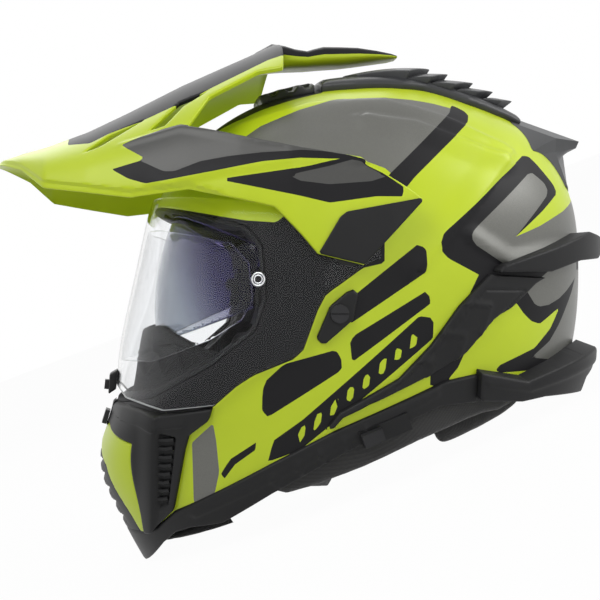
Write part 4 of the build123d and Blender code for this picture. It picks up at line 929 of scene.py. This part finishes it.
# The crown vents: a black brow scoop under the peak and a raised fairing with five rows of
# louvres like fish scales, each lifted at its back edge over a dark slot. They are satin black
# plastic like the spoiler behind them, a shade greyer than the trim.
CROWN_PLASTIC = satin_plastic("crown_plastic", (0.026, 0.027, 0.029), 0.36, 0.0007, 0.00003, 0.4)
FAIRING = top([
    (0, 8), (46, 8), (52, 30), (52, 62), (48, 78), (51, 105), (46, 128), (38, 144), (0, 146)])
BROW = top([(0, -30), (24, -30), (40, -10), (44, 4), (0, 4)])
LOUVRES = [
    [(23, 26), (40, 34), (50, 66), (23, 84)],
    [(0, 87), (14, 78), (48, 66), (49, 82), (30, 95), (0, 97)],
    [(14, 102), (18, 100), (48, 84), (50, 98), (30, 112), (14, 114)],
    [(14, 117), (20, 114), (49, 101), (47, 114), (28, 126), (14, 128)],
    [(14, 131), (28, 129), (46, 119), (41, 131), (28, 139), (14, 141)],
]
LOUVRE_RISE = 0.0080


def brow_relief(points):
    rails = np.clip(1 - np.abs(np.abs(points[:, 0]) - 0.02) / 0.003, 0, 1)
    steps = waves(points[:, 1], -0.03, 0.011, 2)
    return -0.0015 + 0.0013 * steps * (1 - rails) + 0.0012 * rails


def louvre(outline):
    """One row of louvres, which rises from its front edge to its back edge."""
    y = [y for _, y in outline]
    start, length = min(y), max(y) - min(y)
    return layer("crown_louvre", top(outline), 0.0055, 0.0145, 0.0012, [CROWN_PLASTIC],
                 edge=0.0009, relief=lambda p: LOUVRE_RISE * (
                     np.clip((p[:, 1] * 1000 - start) / length, 0, 1) - 1))


fit(layer("crown_fairing_moulding", FAIRING, 0.0001, 0.006, 0.0016, [CROWN_PLASTIC], edge=0.0014,
          relief=lambda p: -0.0022 * np.clip(1 + FAIRING(p) / 0.006, 0, 1) ** 2),
    "helmet", "black_mouldings", "crown_fairing")
fit(layer("brow_scoop", BROW, 0.0001, 0.0058, 0.0014, [CROWN_PLASTIC], edge=0.0012,
          relief=brow_relief), "helmet", "black_mouldings", "brow_vent")
rows = [louvre(outline) for outline in LOUVRES]
with bpy.context.temp_override(active_object=rows[0], selected_editable_objects=rows):
    bpy.ops.object.join()
rows[0].name = "crown_louvre_rows"
fit(rows[0], "helmet", "grey_fittings", "crown_louvres")

# The peak: one arched moulding painted like the shell, 3 mm thick with a folded front lip. It
# has open windows so that the wind passes through, a black spine that runs on as a tail over
# the crown vents, and black caps over its side screws.
ARCH = np.array([
    (-205, 88, 89, 12), (-198, 87, 90, 20), (-181, 79, 95, 52), (-166, 66, 99, 78),
    (-140, 60, 109, 93), (-114, 56, 122, 103), (-80, 50, 140, 113), (-50, 43, 154, 121),
    (-20, 33, 168, 127), (0, 23, 169, 129.5), (15, 18, 169, 130.5), (40, 23, 169, 130.5),
    (75, 33, 166, 127),
]) / 1000
ARCH_POWER = 2.2


def peak_form(places, off=0.0):
    """Worn points of the peak's arch at (worn y, across in radians), steep below its sides."""
    low, high, half = [np.interp(places[:, 0], ARCH[:, 0], part) for part in ARCH[:, 1:].T]
    turn = np.clip(np.abs(places[:, 1]), 0, math.pi / 2)
    below = np.clip(np.abs(places[:, 1]) - math.pi / 2, 0, None) * 0.05
    x = np.sign(places[:, 1]) * (half + off) * np.sin(turn) ** (2 / ARCH_POWER)
    z = low + (high + off - low) * np.cos(turn) ** (2 / ARCH_POWER) - below
    return np.column_stack([x, places[:, 0], z])


peak_net = even_net((1, 0.105), (-0.2, 0.075), (-1.8, 1.8))
PEAK = [(-230, 88), (-198, 88), (-181, 81), (-166, 68), (-114, 61), (-79.5, 66), (-30, 55),
        (-15, 39), (-5, 27), (22, 20.6), (58, 59), (72, 72), (72, 200), (-230, 200)]
PEAK_OPEN = [
    (-79, 105), (-65.5, 125), (-35, 142), (-20, 144), (-12, 190), (90, 190), (90, 56), (58, 60),
    (47, 68), (21, 84), (-13, 90), (-51, 98), (-69, 103)]
PEAK_WINDOWS = [[(-142, 89.7), (-126, 101.6), (-105.7, 110.4), (-132, 93.5)],
                [(-102.6, 102.6), (-83.3, 122.2), (-65.5, 129.4), (-81.4, 119), (-93, 105.8)]]
PEAK_BLACK = [
    (-125, 78), (-108, 83), (-106, 85), (-119, 93), (-105, 99), (-95, 103), (-84, 106), (-52, 100),
    (-14, 91), (9, 86), (24, 82), (24, 79), (9, 82.5), (-15, 83), (-37, 81), (-63, 76), (-96, 70),
    (-105, 69), (-115, 72)]
PEAK_GREY = [
    (-119, 93), (-105, 99), (-95, 103), (-84, 106), (-52, 100), (-14, 91), (12, 86), (-14, 88),
    (-37, 87), (-56, 85), (-73, 82), (-88, 76), (-94, 76), (-108, 83), (-106, 85)]
WING_BLACK = [
    (-63, 71), (-15, 78), (11, 83), (20, 82), (34, 75), (46, 67), (46, 61), (30, 61), (2, 57),
    (-15, 61)]
WING_GREY = [(-21, 73), (-15, 75), (16, 82), (21, 81), (36, 73), (27, 70), (2, 68), (-15, 70)]
SPINE = [(-152, 96), (-138, 96), (-127, 102), (-104, 111), (-77, 124), (-28, 150), (-10, 156),
         (-10, 190), (-152, 190)]
LIP = side([
    (-230, 91), (-198, 91), (-181, 85), (-166, 73), (-114, 65.5), (-79.5, 69), (-60, 63),
    (-60, 30), (-230, 30)])
CAP = [(-5, 27.2), (8, 49), (12, 52), (56, 60.4), (57.8, 59), (22, 20.8)]
peak_creases = ridges(
    ([(-96, 69), (-63, 76), (-15, 83), (22, 81)], 0.0016, 0.004, 0.010),
    ([(-119, 94), (-84, 104), (-52, 98), (-14, 90), (22, 83)], 0.0010, 0.004, 0.002))


def peak_relief(points):
    centre = np.clip(1 - np.abs(points[:, 0]) / 0.030, 0, 1) * (points[:, 1] < -0.03)
    return peak_creases(points) - 0.0022 * plateau(LIP, points) - 0.0012 * centre


def loft(name, rings, materials, slots, sharp):
    """A closed body through rings of worn points."""
    rings = np.array(rings)
    rows, count = rings.shape[:2]
    index = np.arange(rows * count).reshape(rows, count)
    after = np.roll(index, -1, axis=1)
    quads = np.stack([index[:-1], after[:-1], after[1:], index[1:]], -1).reshape(-1, 4)
    faces = [*quads.tolist(), index[0, ::-1].tolist(), index[-1].tolist()]
    return new_piece(name, rings.reshape(-1, 3), faces, materials, slots, sharp)


TAIL = [
    (-39, 149, 158, 6), (-30, 150, 164.5, 12), (-20, 152, 170, 17), (-12, 153, 168.6, 19.5),
    (-5, 153.5, 166.4, 20), (3, 154, 165.2, 20), (8, 154.5, 166.8, 20), (14, 155, 168.4, 19.6),
    (26, 156, 168.5, 19), (37, 157.5, 168.3, 18), (50, 159.5, 166.6, 16), (60, 161, 164.9, 13),
    (64.4, 162, 163.9, 9)]
TAIL_POWER, TAIL_COUNT = 3.0, 40


def tail_fin():
    """The tail through sections at (y, low z, high z, half width): black above, yellow below."""
    turn = 2 * np.pi * np.arange(TAIL_COUNT) / TAIL_COUNT
    u, v = [np.sign(part) * np.abs(part) ** (2 / TAIL_POWER)
            for part in (np.sin(turn), np.cos(turn))]
    rings = [np.stack([half * u, y + 0 * u, (low + high) / 2 + (high - low) / 2 * v], 1)
             for y, low, high, half in TAIL]
    slots = (np.cos(turn + np.pi / TAIL_COUNT) <= 0).astype(int).tolist() * (len(TAIL) - 1)
    return loft("peak_tail_fin", np.array(rings) / 1000, [BLACK, YELLOW], slots + [1, 1], 40)


# The peak's grey panels: the shell's gunmetal paint made darker, painted shade for panels that face
# up and away.
GUNMETAL_SHADED = satin_paint("graphite_flake", (0.075, 0.075, 0.070), (0.035, 0.035, 0.033), 0.42, 0.6,
                       0.3)
fit(layer("peak_moulding", side(PEAK) & -side(PEAK_OPEN, *PEAK_WINDOWS), -0.003, 0.0, 0.0019,
          [YELLOW, GUNMETAL_SHADED, BLACK], edge=0.0009, surface=peak_form, net=peak_net, window=(),
          relief=peak_relief, sharp=35, inside=HUE,
          zones=[(side(PEAK_BLACK), DARK), (side(PEAK_GREY), GREY), (side(WING_BLACK), DARK),
                 (side(WING_GREY), GREY), (side(SPINE), DARK)]),
    "peak_body", "peak_paint", "peak")
fit(tail_fin(), "peak_body", "peak_paint", "peak")
fit(layer("peak_side_caps", side(CAP), 0.0001, 0.0016, 0.0010, [BLACK_PLASTIC], surface=peak_form,
          net=peak_net, both=True, sharp=40),
    "peak_body", "black_mouldings", "peak_side_panel_left", "peak_side_panel_right")

# The back of the helmet: the skirt under the neck and the fin above it stand further out than
# the shell, so they follow its form moved backwards; both are black textured plastic.
REAR_SKIRT = [
    (99, -45), (132, -51), (160, -42), (191, -31), (206, -37), (184, -51), (181, -60.5),
    (146, -61.5), (129, -64), (99, -62.6)]
REAR_FIN = [
    (112, 21), (150, 33), (180, 44), (210, 40), (190, 27), (171, 25), (147, 17.6), (109, 16.5)]
SKIRT_CREASE = [(104, -52), (134, -56), (162, -49), (200, -38)], 0.0010, 0.002, 0.006


def moved_back(amount):
    return lambda places, off=0.0: helmet_form(places, off) + (0, amount, 0)


for name, outline, shift, proud, relief in [
    ("rear_skirt", REAR_SKIRT, 0.016, 0.0025, lambda p: ridge(p, *SKIRT_CREASE) - 0.0005),
    ("rear_fin", REAR_FIN, 0.013, 0.003, None),
]:
    cover(name + "_moulding", [name], side(outline) & -AHEAD + 0.05, -0.012, proud, 0.0014,
          edge=0.0014, surface=moved_back(shift), relief=relief)

# The lining: foam pads in brushed grey knit, each blown up slightly like the real ones; behind
# them the liner of fused foam beads.
RIB_SCALE, RIB_WAVER, BEAD = 0.31, 1.5, 0.0032


def knit(name, colour, pale, size=0.0011):
    """Brushed knit: fine crossed ribs with fibre noise, soft sheen and faded high spots."""
    cloth = Finish(name, roughness=0.92, sheen_weight=0.35, sheen_roughness=0.5)
    across_ribs, along_ribs = [cloth.waves(RIB_SCALE / size, way, RIB_WAVER) for way in "XZ"]
    height = across_ribs * along_ribs * 0.7 + cloth.noise(size * 0.6, 3.0) * 0.5
    cloud = cloth.noise(0.02, 3.0)
    return cloth.dress(height * 0.7 + cloud * 0.4, colour, pale, cloud, (0.85, 0.98),
                       (height, 0.00025, 0.6))


def bead_foam(name, colour, pale):
    """Fused polystyrene beads: rounded cells of a few millimetres with dark seams."""
    foam = Finish(name, roughness=0.8)
    cells = foam.node("ShaderNodeTexVoronoi", Vector=foam.place, Scale=1 / BEAD)
    return foam.dress(cells, pale, colour, foam.noise(0.01), (0.7, 0.9),
                      (1.0 - cells * cells, 0.0003, 0.5))


KNIT = knit("brushed_knit", (0.030, 0.030, 0.032), (0.085, 0.085, 0.088))
KNIT_SKIN = knit("smooth_lining", (0.016, 0.016, 0.017), (0.045, 0.044, 0.043), 0.0007)
FOAM = bead_foam("bead_foam", (0.035, 0.035, 0.037), (0.065, 0.065, 0.068))
SIM_FRAMES, PRESSURE, SMOOTHINGS = 20, 4.0, 4


def read_vertices(piece, key="co"):
    flat = np.zeros(len(piece.data.vertices) * 3, np.float32)
    piece.data.vertices.foreach_get(key, flat)
    return flat.reshape(-1, 3)


def set_vertices(piece, points):
    piece.data.vertices.foreach_set("co", points.astype(np.float32).ravel())


def swell(node, voxel, shrink, most, lowest):
    """A pad with the form of a CAD node: remeshed, drawn in by shrink, blown up by cloth
    simulation but by no more than most, kept above lowest, smoothed."""
    piece = link(node + "_cover", nodes[node].data.copy())
    piece.matrix_basis = nodes[node].matrix_basis
    modifier = piece.modifiers.new("even", "REMESH")
    modifier.mode = "VOXEL"
    modifier.voxel_size = voxel
    bake(piece)
    start = read_vertices(piece) - read_vertices(piece, "normal") * shrink
    set_vertices(piece, start)
    cloth = piece.modifiers.new("cloth", "CLOTH")
    cloth.settings.use_pressure = True
    cloth.settings.uniform_pressure_force = PRESSURE
    cloth.settings.effector_weights.gravity = 0
    for frame_number in range(1, SIM_FRAMES + 1):
        scene.frame_set(frame_number)
    bake(piece)
    scene.frame_set(1)
    moved = read_vertices(piece) - start
    length = np.linalg.norm(moved, axis=1, keepdims=True)
    set_vertices(piece, start + moved * np.minimum(1, most / np.maximum(length, 1e-9)))
    tucked = read_vertices(piece)
    tucked[:, 2] = np.maximum(tucked[:, 2], lowest)
    set_vertices(piece, tucked)
    piece.modifiers.new("smooth", "SMOOTH").iterations = SMOOTHINGS
    finer = piece.modifiers.new("finer", "SUBSURF")
    finer.levels = finer.render_levels = 1
    bake(piece)
    piece.data.polygons.foreach_set("use_smooth", [True] * len(piece.data.polygons))
    return piece


for node, finish, slot, fill, *form in [
    ("cheek_pad_left", KNIT, "lining", 0.7, 0.005, 0.0012, 0.004, 0.0),
    ("cheek_pad_right", KNIT, "lining", 0.7, 0.005, 0.0012, 0.004, 0.0),
    ("neck_roll", KNIT_SKIN, "lining_skin", 0.7, 0.005, 0.0012, 0.004, 0.007),
    ("crown_pad", KNIT, "lining", 0.5, 0.005, 0.0012, 0.002, 0.0),
    ("chin_curtain", KNIT_SKIN, "lining_skin", 0.3, 0.0016, 0.0, 0.001, 0.0),
]:
    pad = swell(node, *form)
    pad.data.materials.clear()
    pad.data.materials.append(finish)
    fit(pad, "helmet", slot, node)

NECK_EDGE = [
    (-40, -104), (-36, -112), (-29, -116.5), (-20, -118.8), (-3, -114), (27, -102.8), (61, -87.6),
    (94, -75.2), (105, -71.8), (116, -70.5), (128, -65), (128, -55), (60, -60), (20, -78),
    (-20, -98)]
fit(layer("neck_edge_padding", side(NECK_EDGE), -0.016, -0.0015, 0.0022, [KNIT_SKIN],
                    edge=0.0045, both=True),
              "helmet", "lining_skin", "cheek_pad_left", "cheek_pad_right")

# The chin strap: two flat bands of 22 mm webbing with rounded long edges, each from behind its
# cheek pad round to the buckle under the chin.
STRAP_ROUTE = [(0, 0.7), (0, 0.3), (0.04, 0.17), (0.14, 0.06), (0.3, 0)]
STRAP_TOP, STRAP_LOW, STRAP_OUT = -15.0, -117.0, 87.7
STRAP_ROWS = 60
STRAP_HALF = [(10.6, 0.6), (10, 0.9), (3.5, 0.9), (-3.5, 0.9), (-10, 0.9), (-10.6, 0.6)]
STRAP_SECTION = [(-11, 0), *[(y, t) for y, t in STRAP_HALF[::-1]], (11, 0),
                 *[(y, -t) for y, t in STRAP_HALF]]


def webbing(name, colour, pale):
    """Woven tape: slanted ribs along the band and fine threads."""
    tape = Finish(name, roughness=0.8, sheen_weight=0.2)
    ribs, threads = tape.waves(190.0, "DIAGONAL"), tape.noise(0.0006)
    return tape.dress(ribs * 0.6 + threads * 0.4, colour, pale, tape.noise(0.01), (0.72, 0.9),
                      (ribs * 0.7 + threads * 0.3, 0.0003, 0.7))


WEBBING = webbing("strap_tape", (0.012, 0.012, 0.013), (0.045, 0.045, 0.047))


def strap(name, hand, end_x):
    drop = STRAP_TOP - STRAP_LOW
    route = np.array([(hand * (STRAP_OUT - drop * a), STRAP_LOW + drop * b) for a, b in STRAP_ROUTE]
                     + [(hand * end_x, STRAP_LOW)])
    run = steps_along(route)
    at = np.linspace(0, run[-1], STRAP_ROWS)
    line = np.stack([np.interp(at, run, part) for part in route.T], 1)
    for _ in range(3):
        line[1:-1] = (line[:-2] + line[1:-1] * 2 + line[2:]) / 4
    tangent = np.gradient(line, axis=0)
    tangent /= np.linalg.norm(tangent, axis=1, keepdims=True)
    rings = [[(x - dz * t, y, z + dx * t) for y, t in STRAP_SECTION]
             for (x, z), (dx, dz) in zip(line, tangent)]
    slots = [0] * ((STRAP_ROWS - 1) * len(STRAP_SECTION) + 2)
    return loft(name + "_webbing", np.array(rings) / 1000, [WEBBING], slots, 60)


for name, hand, end_x in [("chin_strap_left", 1, 22.3), ("chin_strap_right", -1, 21.1)]:
    fit(strap(name, hand, end_x), "helmet", "strap_webbing", name)

# What shows as it was moulded or turned keeps its form and gets a finish of its own: the
# fittings, buckle, sliders, brackets and the foam liner. The buckle is bright stamped steel:
# its place as one number makes noise run in straight lines, the brushing.
BRIGHT = (0.55, 0.55, 0.56)
steel = Finish("buckle_steel", metallic=1.0, roughness=0.3)
lines = steel.node("ShaderNodeTexNoise", Vector=steel.place * 1.0, Scale=900.0, Detail=2.0)
STEEL = steel.dress(steel.noise(0.004, 3.0), [0.75 * part for part in BRIGHT], BRIGHT, lines,
                    (0.22, 0.42), (lines, 0.00001, 0.4))
TONGUE = satin_plastic("tongue_plastic", (0.16, 0.012, 0.010), 0.4)
for finish, dressed in [
    (FOAM, ["impact_liner", "chin_impact_liner"]),
    (CROWN_PLASTIC, ["rear_spoiler"]),
    (FITTING, ["rear_exhaust_grille", "crown_vent_slider", "chin_vent_slider", "side_plug_screws",
               "visor_pivot_cap_left", "visor_pivot_cap_right", "visor_latch_button",
               "sun_shield_lever", "peak_screws"]),
    (BLACK_PLASTIC, ["visor_pivot_base_left", "visor_pivot_base_right", "sun_shield_arms",
                     "sun_shield_brackets", "sun_shield_lever_track"]),
    (STEEL, ["strap_anchors", "buckle_body", "buckle_lever"]),
    (TONGUE, ["buckle_tongue"]),
]:
    for node in dressed:
        mesh = nodes[node].data
        if not mesh.materials:
            mesh.materials.append(None)
        for socket in nodes[node].material_slots:
            socket.link = "OBJECT"
            socket.material = finish
